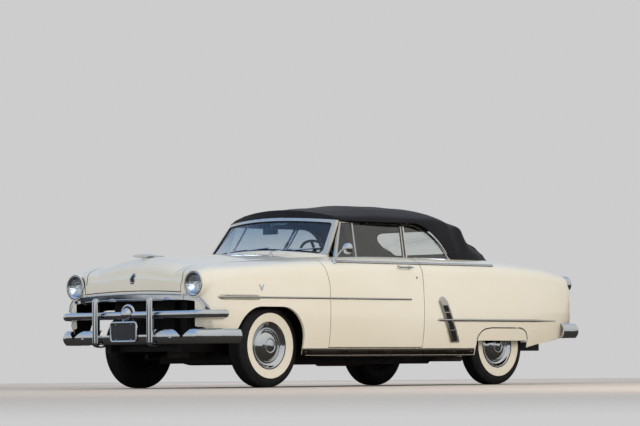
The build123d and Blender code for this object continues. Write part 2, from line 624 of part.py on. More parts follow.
def strip(y0, y1, z0, z1):
    return side_prism(Polyline((y0, z0), (y1, z0), (y1, z1), (y0, z1), close=True), 600, 1100)


spear_z, spear_half = 738, 9
front_y, rear_y = DOOR_TOP_FRONT_Y, DOOR_REAR_Y
fender_spear = layer & (strip(-2316, -1920, 720, 756) + strip(-1920, DOOR_FRONT_Y - 6, 729, 747))
door_spear = layer & strip(DOOR_FRONT_Y + 2, -61, 729, 747)
rear_spear = layer & strip(275, 1923, 553, 573)
sill = layer & strip(-1378, 790, 262, 322)
rear_belt = layer & strip(DOOR_REAR_Y + 8, 1090, 1036, 1066)
door_belt = layer & strip(-945, DOOR_REAR_Y - 2, 1036, 1066)
shield_outline = Curve() + [
    Line((455, 372), (575, 372)), Line((575, 372), (385, 735)),
    ThreePointArc((385, 735), (330, 765), (290, 720)), Line((290, 720), (455, 372)),
]
shield = layer & (side_prism(shield_outline, 600, 1100) - strip(200, 700, 550, 576))
nodes["side_mouldings"] = both(group(fender_spear, rear_spear, rear_belt, sill))
nodes["gravel_shields"] = both(shield)

HANDLE_Z = 1011
handle = block(940, 958, -190, -40, HANDLE_Z - 7, HANDLE_Z + 7)
for y in (-186, -60):
    handle += block(880, 942, y, y + 20, HANDLE_Z - 7, HANDLE_Z + 7)
handle = fillet(handle.edges().filter_by(Axis.Z).sort_by(Axis.X)[-2:], 6) - near
lock = rod(936, -60, 923, 9, 16) - near
mirror = rod(860, -960, 1075, 9, 80, (0, 0, 1)) + rod(872, -880, 1135, 7, 170, (0.1, 0.9, 0.45))
mirror += Pos(882, -790, 1161) * (Sphere(47) & Pos(0, -20, 0) * Box(120, 52, 120))
mirror = (mirror - near).solids().sort_by(SortBy.VOLUME)[-1]
nodes["door_glass_left"] = door_glass
nodes["door_glass_right"] = flip(door_glass)
nodes["door_trim_left"] = group(door_frame, door_spear, door_belt, handle, lock, mirror)
nodes["door_trim_right"] = flip(group(door_frame, door_spear, door_belt, handle, lock))


# Bumpers and grille bar: a section, drawn outwards and up, swept along a plan path
def swept(points, radii, section):
    """Runs from a side's rear end round the front; the last points mirror the first."""
    path = FilletPolyline(*points, *[(-x, y) for x, y in reversed(points)], radius=radii)
    x, y = points[0]
    return sweep(Plane(origin=(x, y, 0), x_dir=(1, 0, 0), z_dir=(0, -1, 0)) * section, path=path)


def blade_section(z0, z1, bulge, thick):
    """Pressed blade, bowed out between its edges."""
    middle = (z0 + z1) / 2
    return make_face(Curve() + [
        ThreePointArc((0, z0), (bulge, middle), (0, z1)), Line((0, z1), (-thick, z1)),
        ThreePointArc((-thick, z1), (bulge - thick, middle), (-thick, z0)), Line((-thick, z0), (0, z0)),
    ])


def guard(x, y, z0, z1):
    """Tall bumper guard with rounded ends."""
    body = Pos(x, y, (z0 + z1) / 2) * Box(64, 58, z1 - z0)
    return fillet(body.edges(), 28)


GUARD_X = 323
BULGE = 30
BLADE_THICK = 14
BLADE_LOW, BLADE_HIGH = 363, 484
NOTCH_X, NOTCH_Z = 640, 411
front_path = [(898, -2108), (900, -2330), (780, -2480), (GUARD_X, -2518)]
front_bumper = swept(front_path, 110, blade_section(BLADE_LOW, BLADE_HIGH, BULGE, BLADE_THICK))
for side in (-1, 1):
    # The top edge dips in a notch outboard of each guard and rises in an arch to it
    notch = Curve() + [
        ThreePointArc((GUARD_X + 15, NOTCH_Z + 10), (470, BLADE_HIGH), (NOTCH_X, NOTCH_Z)),
        Line((NOTCH_X, NOTCH_Z), (720, BLADE_HIGH + 1)),
        Line((720, BLADE_HIGH + 1), (720, BLADE_HIGH + 60)),
        Line((720, BLADE_HIGH + 60), (GUARD_X + 15, BLADE_HIGH + 60)),
        Line((GUARD_X + 15, BLADE_HIGH + 60), (GUARD_X + 15, NOTCH_Z + 10)),
    ]
    cutter = front_prism(notch, -2600, -2400)
    front_bumper -= cutter if side > 0 else flip(cutter)
front_bumper -= block(15 - GUARD_X, GUARD_X - 15, -2600, -2400, 440, 520)
left_guard = guard(-GUARD_X, -2560, 350, 748)
front_bumper = front_bumper + left_guard + flip(left_guard)
front_bumper += [block(x - 20, x + 20, -2535, -2240, 390.3, 432) for x in (-400, 400)]
fender_side = near & block(600, 1000, -2700, -2000, 300, 600)
front_bumper -= fender_side + flip(fender_side)
nodes["front_bumper"] = front_bumper

rear_path = [(900, -2010), (904, -2200), (800, -2330), (GUARD_X, -2368)]
rear_bumper = swept(rear_path, 110, blade_section(412, 540, BULGE, BLADE_THICK)).mirror(Plane.XZ)
rear_bumper += [guard(side * GUARD_X, 2404, 385, 602) for side in (-1, 1)]
rear_bumper += [block(x - 20, x + 20, 2130, 2385, 380.3, 425) for x in (-400, 400)]
nodes["rear_bumper"] = rear_bumper

# Grille: floating bar with round ends and middle bullet, and the brow
BAR_Z = 602
BAR_HALF = 33
bar_path = [(898, -2268), (886, -2352), (795, -2468), (300, -2497)]
bar = swept(bar_path, 90, Pos(0, BAR_Z) * Ellipse(25, BAR_HALF))
tip = Pos(bar_path[0][0], bar_path[0][1] - 10, BAR_Z) * Sphere(BAR_HALF + 3)
bullet = Pos(0, -2504, BAR_Z + 6) * Sphere(60) + rod(0, -2492, BAR_Z + 6, 66, 30, (0, 1, 0))
bar = bar + tip + flip(tip)
bar += [block(x - 10, x + 10, -2490, -2290 - PIN_CLEAR, BAR_Z - 14, BAR_Z + 14) for x in (-250, 250)]
mouth_space = front_prism(mouth, -2600, -2290)
bar = bar - (near - mouth_space) + bullet
brow_outline = Curve() + [
    ThreePointArc((-600, BROW_TOP_Z - 15), (0, BROW_TOP_Z), (600, BROW_TOP_Z - 15)),
    ThreePointArc((600, BROW_TOP_Z - 15), (760, 742), (834, 639)),
    Line((834, 639), (808, 639)),
    ThreePointArc((808, 639), (765, 690), (700, 712)),
    Line((700, 712), (600, MOUTH_TOP_Z)), Line((600, MOUTH_TOP_Z), (-600, MOUTH_TOP_Z)),
    Line((-600, MOUTH_TOP_Z), (-700, 712)),
    ThreePointArc((-700, 712), (-765, 690), (-808, 639)),
    Line((-808, 639), (-834, 639)),
    ThreePointArc((-834, 639), (-760, 742), (-600, BROW_TOP_Z - 15)),
]
brow = (body_loft(15) - near) & front_prism(brow_outline, -2600, -2300)
pod_room = rod(HEADLAMP_X, POD_FRONT_Y - 60, HEADLAMP_Z, POD_RADIUS + PIN_CLEAR, 300, (0, 1, 0))
pod_room += lamp_fairing(PIN_CLEAR)
brow -= pod_room + flip(pod_room)
nodes["grille"] = group(bar, brow)

# Headlamps in their pods; parking lamps follow the corner below the bar
rims, lenses = [], []
for side in (-1, 1):
    x = side * HEADLAMP_X
    rim_y = POD_FRONT_Y + 42 - PIN_CLEAR - 22
    rim = rod(x, rim_y, HEADLAMP_Z, RIM_RADIUS, 44, (0, 1, 0))
    rim = fillet(rim.edges().sort_by(Axis.Y)[0], 10)
    rims.append(rim - rod(x, rim_y - 10, HEADLAMP_Z, LENS_RADIUS + PIN_CLEAR, 34, (0, 1, 0)))
    dome = Pos(x, rim_y + 156, HEADLAMP_Z) * Sphere(180)
    lenses.append(dome & rod(x, rim_y - 12, HEADLAMP_Z, LENS_RADIUS, 37, (0, 1, 0)))
    lamp = layer & front_prism(rounded([(side * 718, 494), (side * 838, 494), (side * 838, 548), (side * 718, 548)], 8),
                               -2500, -2300)
    lenses.append(lamp)
nodes["headlamp_rims"] = group(*rims)
nodes["lamp_lenses"] = group(*lenses)
tails = [rod(side * TAIL_X, TAIL_Y, TAIL_Z, TAIL_RADIUS, 60, (0, 1, 0)) for side in (-1, 1)]
nodes["tail_lamps"] = group(*tails) - near

# Hood ornament: a slim spindle on a foot, with swept wings
ornament = Pos(0, -2290, 1092) * scale(Sphere(1), by=(13, 152, 17)) + block(-9, 9, -2320, -2215, 1050, 1090)
wings = Polyline((0, -2345), (84, -2168), (62, -2162), (0, -2236), (-62, -2162), (-84, -2168), close=True)
nodes["hood_ornament"] = (ornament + plan_prism(wings, 1092, 1098)) - near
PLATE_W, PLATE_H, PLATE_T = 305, 155, 4
BOLT_X, BOLT_Z, BOLT_R = 178, 121, 3.5


def plate(y, z):
    """Blank number plate with its four bolt holes, centred on (0, y, z)."""
    sheet = Pos(0, y, z) * Box(PLATE_W, PLATE_T, PLATE_H)
    for x in (-BOLT_X / 2, BOLT_X / 2):
        for dz in (-BOLT_Z / 2, BOLT_Z / 2):
            sheet -= rod(x, y, z + dz, BOLT_R, 3 * PLATE_T, (0, 1, 0))
    return sheet


nodes["plates"] = group(plate(-2550.3, 464), plate(2400.3, 476))

# Cabin
nodes["dashboard"] = block(-725, 725, -1060, -860, 945, 1080) & inner
COLUMN_TILT = 28
axis = (0, cos(radians(COLUMN_TILT)), sin(radians(COLUMN_TILT)))
WHEEL_CENTRE = (370, -594, 1053)


def along(distance):
    return tuple(c + distance * a for c, a in zip(WHEEL_CENTRE, axis))


column = rod(*along(-290), 24, 500, axis) & block(0, 700, FIREWALL_Y + PIN_CLEAR, 0, 0, 1500)
flange_z = WHEEL_CENTRE[2] + (FIREWALL_Y - WHEEL_CENTRE[1]) * axis[2] / axis[1]
column += block(320, 420, FIREWALL_Y + PIN_CLEAR, FIREWALL_Y + 12, flange_z - 60, flange_z + 60)
nodes["steering_column"] = column
hub = rod(*along(-19), 34, 42 - 2 * PIN_CLEAR, axis)
ring = Plane(origin=WHEEL_CENTRE, z_dir=axis) * Torus(215, 11)
spokes = Plane(origin=WHEEL_CENTRE, z_dir=axis) * (Box(420, 26, 10) + Pos(0, 0, -8) * Cylinder(40, 24))
nodes["steering_wheel"] = ring + spokes + hub
SEAT_HALF = 700
REAR_SEAT_HALF = 590
front_bench = rounded([(-440, 480), (-440, 640), (95, 600), (180, 930), (275, 930), (200, 480)], 30)
rear_bench = rounded([(560, 540.3), (560, 700), (1020, 680), (1090, 950), (1180, 950), (1120, 540.3)], 28)
front_seat = side_prism(front_bench, -SEAT_HALF, SEAT_HALF)
for x in (-560, 520):
    front_seat += block(x, x + 40, -360, 140, FLOOR_Z + FLOOR_THICK + PIN_CLEAR, 490)
nodes["front_seat"] = front_seat
nodes["rear_seat"] = side_prism(rear_bench, -REAR_SEAT_HALF, REAR_SEAT_HALF)

os.makedirs("parts", exist_ok=True)
for name, shape in nodes.items():
    solids = [s for s in shape.solids() if s.volume > 200]
    moved = [Pos(0, ORIGIN_SHIFT, 0) * solid for solid in solids]
    export_step(Compound(children=moved) if len(moved) > 1 else moved[0], "parts/" + name + ".step")
    print(name, len(moved), round(sum(s.volume for s in moved) / 1e6, 2))
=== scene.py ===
"""Looks of the ivory convertible: paint, plating, cloth, rubber and the fine pieces."""
import math

import bmesh
import bpy
from mathutils import Matrix, Vector
from mathutils.bvhtree import BVHTree


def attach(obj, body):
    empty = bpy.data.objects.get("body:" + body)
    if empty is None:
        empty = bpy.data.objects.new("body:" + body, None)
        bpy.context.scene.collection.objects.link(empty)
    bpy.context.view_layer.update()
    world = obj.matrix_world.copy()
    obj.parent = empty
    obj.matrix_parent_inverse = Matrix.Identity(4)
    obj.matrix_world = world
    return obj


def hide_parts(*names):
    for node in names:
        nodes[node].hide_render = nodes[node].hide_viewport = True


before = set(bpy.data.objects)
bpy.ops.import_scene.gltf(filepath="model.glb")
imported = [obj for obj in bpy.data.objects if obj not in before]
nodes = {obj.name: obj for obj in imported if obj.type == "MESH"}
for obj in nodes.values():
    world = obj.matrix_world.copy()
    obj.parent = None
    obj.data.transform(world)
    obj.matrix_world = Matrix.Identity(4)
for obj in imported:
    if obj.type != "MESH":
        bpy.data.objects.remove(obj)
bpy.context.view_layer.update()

# Places in metres, front towards -Y and the driver's side towards +X
SIDES = ((1, "left"), (-1, "right"))
HUB_Z = 0.345
AXLES = {"fl": (0.7365, -1.596), "fr": (-0.7365, -1.596), "rl": (0.711, 1.325), "rr": (-0.711, 1.325)}
LAMP_X, LAMP_Z = 0.703, 0.848


def srgb(text, alpha=1.0):
    """A sRGB hex colour as the linear values that Blender's sockets take."""
    parts = [int(text[i:i + 2], 16) / 255 for i in (1, 3, 5)]
    return tuple(c / 12.92 if c <= 0.04045 else ((c + 0.055) / 1.055) ** 2.4 for c in parts) + (alpha,)


def add(tree, kind, props=None, **inputs):
    """Adds a node: props are its settings, inputs its sockets' values or links.

    A socket's spaces are written as _, and i0, i1 mean its first and second input.
    """
    node = tree.nodes.new(kind)
    for key, value in (props or {}).items():
        setattr(node, key, value)
    for key, value in inputs.items():
        socket = node.inputs[int(key[1:])] if key[1:].isdigit() else node.inputs[key.replace("_", " ")]
        if isinstance(value, bpy.types.NodeSocket):
            tree.links.new(value, socket)
        elif isinstance(value, bpy.types.Node):
            tree.links.new(value.outputs[0], socket)
        else:
            socket.default_value = value
    return node


def maths(tree, operation, *values):
    """One arithmetic node on the values."""
    inputs = {"i%d" % i: value for i, value in enumerate(values)}
    return add(tree, "ShaderNodeMath", {"operation": operation}, **inputs).outputs[0]


def finish(name):
    """A new material and its empty tree."""
    made = bpy.data.materials.new(name)
    made.use_nodes = True
    made.node_tree.nodes.clear()
    return made, made.node_tree


def shaded(tree, **sockets):
    """Ends a tree in a shader with the given sockets."""
    body = add(tree, "ShaderNodeBsdfPrincipled", **sockets)
    add(tree, "ShaderNodeOutputMaterial", Surface=body)


def mixed(tree, factor, first, second):
    """Colour between two, given as hex text or sockets, by a 0 to 1 factor."""
    first, second = (srgb(colour) if isinstance(colour, str) else colour for colour in (first, second))
    mix = add(tree, "ShaderNodeMix", {"data_type": "RGBA", "clamp_factor": True}, i0=factor, i6=first, i7=second)
    return mix.outputs[2]


def ranged(tree, value, low, high, to_low=0.0, to_high=1.0):
    """A value's range turned into another, held at its ends."""
    return add(tree, "ShaderNodeMapRange", None, i0=value, i1=low, i2=high, i3=to_low, i4=to_high).outputs[0]


def spot_of(tree):
    """The object's own coordinates."""
    return add(tree, "ShaderNodeTexCoord").outputs["Object"]


def axes_of(tree, vector):
    """A vector's three parts, by the names X, Y and Z."""
    return add(tree, "ShaderNodeSeparateXYZ", None, Vector=vector).outputs


def grain(tree, scale, detail=3.0):
    """Noise on the object's own coordinates, with features of about 1/scale metres."""
    return add(tree, "ShaderNodeTexNoise", None, Vector=spot_of(tree), Scale=scale, Detail=detail).outputs[0]


def bump(tree, height, depth, strength=0.5):
    """Normals raised by a height pattern that is depth metres tall."""
    return add(tree, "ShaderNodeBump", None, Height=height, Distance=depth, Strength=strength)


# ---------------------------------------------------------------- finishes
def ivory_enamel():
    """Baked enamel: soft cream, a faint orange-peel under a clear gloss, black undercoat inside."""
    made, tree = finish("ivory_baked_enamel")
    shade = mixed(tree, ranged(tree, grain(tree, 1.4), 0.35, 0.65), "#E9E4D5", "#E5DFCD")
    # Inner faces turn away from the body's middle line and are undercoated
    coords = add(tree, "ShaderNodeTexCoord").outputs
    outward = add(tree, "ShaderNodeVectorMath", {"operation": "MULTIPLY_ADD"},
                  i0=coords["Object"], i1=(1, 0, 1), i2=(0, 0, -0.62))
    outward = add(tree, "ShaderNodeVectorMath", {"operation": "NORMALIZE"}, i0=outward)
    facing = add(tree, "ShaderNodeVectorMath", {"operation": "DOT_PRODUCT"},
                 i0=outward, i1=coords["Normal"]).outputs["Value"]
    below = axes_of(tree, coords["Object"])["Z"]
    inside = maths(tree, "MAXIMUM", ranged(tree, facing, -0.22, -0.3), ranged(tree, below, 0.2635, 0.2625))
    # Orange peel of a sprayed coat, 4 mm across and a few hundredths of a millimetre deep
    shaded(tree, Base_Color=mixed(tree, inside, shade, "#17171A"), Roughness=ranged(tree, inside, 0, 1, 0.32, 0.7),
           IOR=1.5, Coat_Weight=0.9, Coat_Roughness=0.035, Coat_IOR=1.5,
           Coat_Normal=bump(tree, grain(tree, 240, 1.0), 0.00003, 0.6))
    return made


def plated(name, colour, rough, depth=0.00002):
    """Bright plating: mirror-like, with faint polishing ripples and wiped haze."""
    made, tree = finish(name)
    shaded(tree, Metallic=1.0, Base_Color=srgb(colour), Normal=bump(tree, grain(tree, 120, 1.0), depth),
           Roughness=ranged(tree, grain(tree, 9, 4), 0.35, 0.7, rough, rough * 2.2))
    return made


def frame_finish():
    """Bright window frames whose foot, below the windscreen glass, is body enamel."""
    made, tree = finish("window_frame_plated_painted_foot")
    spot = axes_of(tree, spot_of(tree))
    # The glass's lower edge is an arc 44 mm high over 1336 mm
    edge = maths(tree, "MULTIPLY_ADD", maths(tree, "MULTIPLY", spot["X"], spot["X"]), 0.0986, spot["Z"])
    foot = maths(tree, "MULTIPLY", ranged(tree, edge, 1.160, 1.158), ranged(tree, spot["Y"], -0.52, -0.55))
    shaded(tree, Base_Color=mixed(tree, foot, "#DFDAD0", "#E7E1D1"), Metallic=ranged(tree, foot, 0, 1, 1.0, 0.0),
           Roughness=ranged(tree, grain(tree, 9, 4), 0.35, 0.7, 0.24, 0.34), IOR=1.5, Coat_Weight=foot,
           Coat_Roughness=0.04, Normal=bump(tree, grain(tree, 120, 1.0), 0.00003))
    return made


def rubber(name, first, second, rough):
    """Moulded rubber: matt, a little dusty, with the mould's fine rings left to the mesh."""
    made, tree = finish(name)
    dust = ranged(tree, grain(tree, 22, 5), 0.35, 0.75, 0.0, 0.35)
    shaded(tree, Base_Color=mixed(tree, dust, first, second), IOR=1.52, Specular_IOR_Level=0.35,
           Roughness=ranged(tree, grain(tree, 60, 3), 0.3, 0.7, rough, rough + 0.15),
           Normal=bump(tree, grain(tree, 1500, 2), 0.00015))
    return made


def painted(name, first, second, rough, scale):
    """Painted or bare metal and plastic: uneven, with dust in pores of about 1/scale metres."""
    made, tree = finish(name)
    shaded(tree, Base_Color=mixed(tree, ranged(tree, grain(tree, 7, 6), 0.3, 0.7), first, second), IOR=1.5,
           Roughness=ranged(tree, grain(tree, 30, 4), 0.3, 0.7, rough, rough + 0.2),
           Normal=bump(tree, grain(tree, scale, 4), 0.0004, 0.6))
    return made


def clear_glass(name, tint, rough=0.0, shade=None):
    """Clear glass; the windscreen is tinted towards its top edge, where shade gives its two colours: a blue band that
    is partly tint and partly painted sky reflection.
    """
    made, tree = finish(name)
    colour = srgb(tint)
    if shade:
        spot = axes_of(tree, spot_of(tree))
        # Blue towards the windscreen's top: partly a tint, partly painted reflection of the blue sky
        band = mixed(tree, ranged(tree, spot["Z"], 1.15, 1.42), *shade)
        colour = mixed(tree, ranged(tree, spot["Y"], -0.50, -0.52), tint, band)
    shaded(tree, Base_Color=colour, Roughness=rough, IOR=1.5, Transmission_Weight=1.0,
           Normal=bump(tree, grain(tree, 5, 2), 0.0001, 0.15))
    return made


def woven(name, first, second, thread, sheen):
    """Proofed canvas: a plain weave with a dull sheen and slightly faded patches.

    The real threads are 0.6 mm apart; thread is drawn coarser so that it shows.
    """
    made, tree = finish(name)
    warp, weft = (add(tree, "ShaderNodeTexWave", {"bands_direction": axis}, Vector=spot_of(tree),
                      Scale=math.pi / thread / 10, Distortion=0.6) for axis in "XY")
    faded = ranged(tree, grain(tree, 3.5, 4), 0.35, 0.7, 0.0, 0.6)
    shaded(tree, Base_Color=mixed(tree, faded, first, second), Roughness=0.85, IOR=1.45, Specular_IOR_Level=0.3,
           Sheen_Weight=sheen, Sheen_Roughness=0.4, Sheen_Tint=srgb("#8C8C8F"),
           Normal=bump(tree, maths(tree, "MULTIPLY", warp, weft), 0.0004))
    return made


def grained_vinyl(name, first, second):
    """Seat trim with a leather grain of about 2 mm cells, worn smoother on its crowns."""
    made, tree = finish(name)
    cells = add(tree, "ShaderNodeTexVoronoi", {"feature": "DISTANCE_TO_EDGE"}, Vector=spot_of(tree), Scale=520)
    shaded(tree, Base_Color=mixed(tree, ranged(tree, grain(tree, 6, 4), 0.3, 0.7), first, second), IOR=1.5,
           Roughness=ranged(tree, grain(tree, 14, 3), 0.3, 0.7, 0.36, 0.55),
           Normal=bump(tree, ranged(tree, cells.outputs[0], 0.0, 0.06), 0.0003))
    return made


enamel = ivory_enamel()
chrome = plated("chrome_plate_polished", "#D5D9DD", 0.035)
stainless = plated("stainless_trim_buffed", "#C9C8C4", 0.14, 0.00004)
frame_bright = frame_finish()
shield_satin = plated("shield_stainless_satin", "#E2DDD4", 0.27, 0.00004)
# The sill's stainless is coloured dark brown: painted reflection of the shaded ground beside the car.
sill_dark_reflection_plate = plated("sill_stainless_painted_ground_reflection", "#6B6259", 0.22, 0.00006)
lamp_silver = plated("lamp_silver_vapour_coated", "#E6EAEE", 0.05)
black_rubber = rubber("tyre_rubber_moulded", "#17171A", "#2B2A29", 0.55)
white_rubber = rubber("whitewall_rubber_cream", "#E6E1D2", "#D9D2BF", 0.5)
weatherstrip = rubber("weatherstrip_rubber_extruded", "#0F0F11", "#1C1C1E", 0.5)
hose_rubber = rubber("radiator_hose_rubber", "#141415", "#222120", 0.5)
chassis_black = painted("chassis_black_brushed", "#121214", "#1D1B19", 0.45, 90)
cast_iron = painted("cast_iron_dusty", "#2A2826", "#3B3733", 0.6, 260)
exhaust_steel = painted("exhaust_steel_scaled", "#4B443E", "#5E5248", 0.5, 180)
dash_enamel = painted("dash_enamel_taupe", "#6E665A", "#675F54", 0.25, 30)
parking_lens = painted("parking_lens_pressed_frosted", "#D3D0C4", "#C2BFB4", 0.12, 40)
badge_enamel = painted("badge_enamel_plain_black", "#1A1B20", "#202127", 0.2, 30)
black_plastic = painted("wheel_rim_plastic_black", "#141416", "#1A1A1C", 0.18, 20)
plate_enamel = painted("plate_enamel_blank", "#2B2E33", "#33363B", 0.3, 60)
top_thread = painted("top_thread_waxed", "#35353A", "#3F3F45", 0.5, 200)
fin_metal = painted("radiator_fin_blackened", "#1E1E1F", "#2A2927", 0.45, 300)
engine_paint = painted("engine_enamel_bronze_green", "#5E7262", "#687A6A", 0.3, 70)
cleaner_paint = painted("air_cleaner_enamel_black", "#26282B", "#303236", 0.22, 40)
# The windscreen's blue top band is partly painted reflection of the blue sky
window_glass = clear_glass("laminated_glass_clear", "#F1F4F4", shade=("#E6EDF1", "#97B9D2"))
lens_glass = clear_glass("lens_glass_pressed", "#F2F5F5", 0.02)
ruby_lens = clear_glass("ruby_lens_moulded", "#B3121A", 0.05)
top_cloth = woven("top_canvas_black", "#17171A", "#242427", 0.003, 0.24)
head_lining = woven("head_lining_taupe", "#4A443D", "#57504A", 0.003, 0.2)
carpet_loop = woven("floor_carpet_loop_taupe", "#4C443B", "#5A5147", 0.006, 0.3)
seat_trim = grained_vinyl("seat_vinyl_saddle", "#6A5643", "#755F4A")
card_trim = grained_vinyl("door_card_vinyl_sand", "#8A7A64", "#93836C")

FINISHES = {
    enamel: "fender_left fender_right quarter_left quarter_right nose_panel cowl_panel deck_panel "
            "tail_panel fender_skirts hood trunk_lid door_left door_right",
    chassis_black: "floor_pan trunk_floor firewall wheel_housings chassis_frame front_suspension "
                   "radiator fuel_tank",
    cast_iron: "engine_block knuckle_left knuckle_right rear_axle drive_shaft",
    exhaust_steel: "exhaust",
    chrome: "wheel_fl wheel_fr wheel_rl wheel_rr front_bumper rear_bumper grille headlamp_rims "
            "hood_ornament gravel_shields door_trim_left door_trim_right",
    frame_bright: "window_frames",
    stainless: "side_mouldings",
    black_rubber: "tyre_fl tyre_fr tyre_rl tyre_rr",
    window_glass: "fixed_glass door_glass_left door_glass_right",
    lens_glass: "lamp_lenses",
    ruby_lens: "tail_lamps",
    top_cloth: "soft_top",
    dash_enamel: "dashboard steering_column",
    black_plastic: "steering_wheel",
    seat_trim: "front_seat rear_seat",
    plate_enamel: "plates",
}
for skin, names in FINISHES.items():
    for name in names.split():
        nodes[name].data.materials.clear()
        nodes[name].data.materials.append(skin)


# ---------------------------------------------------------------- mesh work
def put(piece, slot, body="root", stands_for=None):
    """Says which body a finished piece rides on and hides the CAD node that it stands for; slot is not used."""
    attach(piece, body)
    if stands_for:
        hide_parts(stands_for)
    return piece


def shown(name, data, sharp):
    """A mesh as an object in the scene, smooth but for edges over sharp degrees."""
    data.shade_smooth()
    data.set_sharp_from_angle(angle=math.radians(sharp))
    piece = bpy.data.objects.new(name, data)
    bpy.context.collection.objects.link(piece)
    return piece


def meshed(name, verts, faces, skins, marks=None, sharp=35, outward=True):
    """A piece from points and faces, in one skin or in several that marks pick for each face."""
    data = bpy.data.meshes.new(name)
    data.from_pydata([tuple(vert) for vert in verts], [], faces)
    for skin in skins if isinstance(skins, tuple) else (skins,):
        data.materials.append(skin)
    if marks:
        data.polygons.foreach_set("material_index", marks)
    if outward:
        shape = bmesh.new()
        shape.from_mesh(data)
        bmesh.ops.remove_doubles(shape, verts=shape.verts, dist=1e-6)
        bmesh.ops.recalc_face_normals(shape, faces=shape.faces)
        shape.to_mesh(data)
        shape.free()
    return shown(name, data, sharp)


def applied(piece):
    """Makes a piece's modifiers part of its mesh."""
    data = bpy.data.meshes.new_from_object(piece.evaluated_get(bpy.context.evaluated_depsgraph_get()))
    piece.modifiers.clear()
    piece.data = data
    return data


def joined(name, pieces):
    """One object from several, each already in its place."""
    if len(pieces) > 1:
        with bpy.context.temp_override(active_object=pieces[0], selected_editable_objects=pieces):
            bpy.ops.object.join()
        pieces[0].name = name
    return pieces[0]


def ramp(first, last, count):
    """Count values in even steps from first to last."""
    return [first + (last - first) * i / (count - 1) for i in range(count)]


def quads(rows, width, ring=False, around=True):
    """Faces between rows of width points; ring joins the last row to the first, around a row's ends."""
    faces = []
    for i in range(rows if ring else rows - 1):
        a, b = i * width, (i + 1) % rows * width
        for j in range(width if around else width - 1):
            k = (j + 1) % width
            faces.append([a + j, a + k, b + k, b + j])
    return faces


def turned(name, outline, centre, steps, skins, side=1, wave=None, closed=False, axis="x"):
    """Turns (radius, offset, skin) points about an axis through centre; offsets grow outwards.

    A point without its skin's number has the first one. wave shifts a row's offset at each turn.
    """
    outline = [(tuple(point) + (0,))[:3] for point in outline]
    verts, faces, marks = [], [], []
    rows = len(outline)
    for turn in range(steps):
        angle = 2 * math.pi * turn / steps
        for row, (radius, offset, _) in enumerate(outline):
            if wave:
                offset = offset + wave(row, turn)
            u, v = radius * math.cos(angle), radius * math.sin(angle)
            spot = {"x": (side * offset, u, v), "y": (u, side * offset, v), "z": (u, v, side * offset)}[axis]
            verts.append([c + d for c, d in zip(centre, spot)])
    for turn in range(steps):
        a, b = turn * rows, (turn + 1) % steps * rows
        for row in range(rows if closed else rows - 1):
            after = (row + 1) % rows
            starts, ends = outline[row][0] > 1e-6, outline[after][0] > 1e-6
            if starts or ends:
                faces.append([a + row, a + after] + [b + after] * ends + [b + row] * starts)
                marks.append(outline[row][2])
    return meshed(name, verts, faces, skins, marks)


def surface(*names):
    """A search tree over CAD nodes, for laying pieces on their faces."""
    points, faces = [], []
    for name in names:
        data = nodes[name].data
        base = len(points)
        points += [v.co.copy() for v in data.vertices]
        faces += [[base + i for i in face.vertices] for face in data.polygons]
    return BVHTree.FromPolygons(points, faces)


def laid(tree, start, heading, reach=3.0):
    """First point and normal that a ray meets, with the normal turned towards the ray."""
    heading = Vector(heading).normalized()
    place, normal, _, _ = tree.ray_cast(Vector(start), heading, reach)
    if place is None:
        return None, None
    return place, (normal if normal.dot(heading) < 0 else -normal)


def traced(tree, starts, heading, keep=lambda place: True):
    """Points and normals where rays from the starts meet a surface, for the points to keep."""
    hits = [laid(tree, start, heading) for start in starts]
    hits = [hit for hit in hits if hit[0] is not None and keep(hit[0])]
    return [place for place, _ in hits], [normal for _, normal in hits]


def eased(values, passes, settle=lambda value: value):
    """Smooths a path's points or normals between its ends."""
    for _ in range(passes):
        inner = [settle((a + b * 2 + c) / 4) for a, b, c in zip(values, values[1:], values[2:])]
        values = values[:1] + inner + values[-1:]
    return values


def swept(name, path, normals, section, skins, ring=False, scale=None, taper=None):
    """Sweeps (side, out) section points along a path; out follows the normals, or the one normal.

    scale sizes the whole section at each point, and taper only its width.
    """
    path = [Vector(place) for place in path]
    count, width = len(path), len(section)
    if isinstance(normals[0], (int, float)):
        normals = [normals] * count
    verts = []
    for i, (place, normal) in enumerate(zip(path, normals)):
        after = path[(i + 1) % count] if ring or i < count - 1 else place
        before = path[i - 1] if ring or i else place
        along = (after - before).normalized()
        out = (Vector(normal) - along * along.dot(Vector(normal))).normalized()
        across = along.cross(out)
        size = scale[i] if scale else 1.0
        wide = size * (taper[i] if taper else 1.0)
        verts += [place + across * (u * wide) + out * (v * size) for u, v in section]
    faces = quads(count, width, ring)
    if not ring:
        faces += [list(range(width)), [(count - 1) * width + j for j in range(width)]]
    return meshed(name, verts, faces, skins, sharp=40)


def bow_section(width, height, steps=10, foot=0.001):
    """Half-round moulding section: flat foot, crowned top."""
    top = [(width / 2 * math.cos(a), height * math.sin(a) ** 0.8) for a in ramp(0, math.pi, steps + 1)]
    return [(width / 2, -foot)] + top + [(-width / 2, -foot)]


def crown_section(width, deep, crown, steps=12):
    """Moulding section that starts deep under the path and crowns above it."""
    return [(width / 2 * math.cos(a), -deep + (deep + crown) * math.sin(a) ** 0.75)
            for a in ramp(0, math.pi, steps + 1)]


def round_section(radius, steps=10, out_radius=None):
    """A circle, or an oval where the radius outwards differs."""
    angles = [2 * math.pi * i / steps for i in range(steps)]
    return [(radius * math.cos(a), (out_radius or radius) * math.sin(a)) for a in angles]


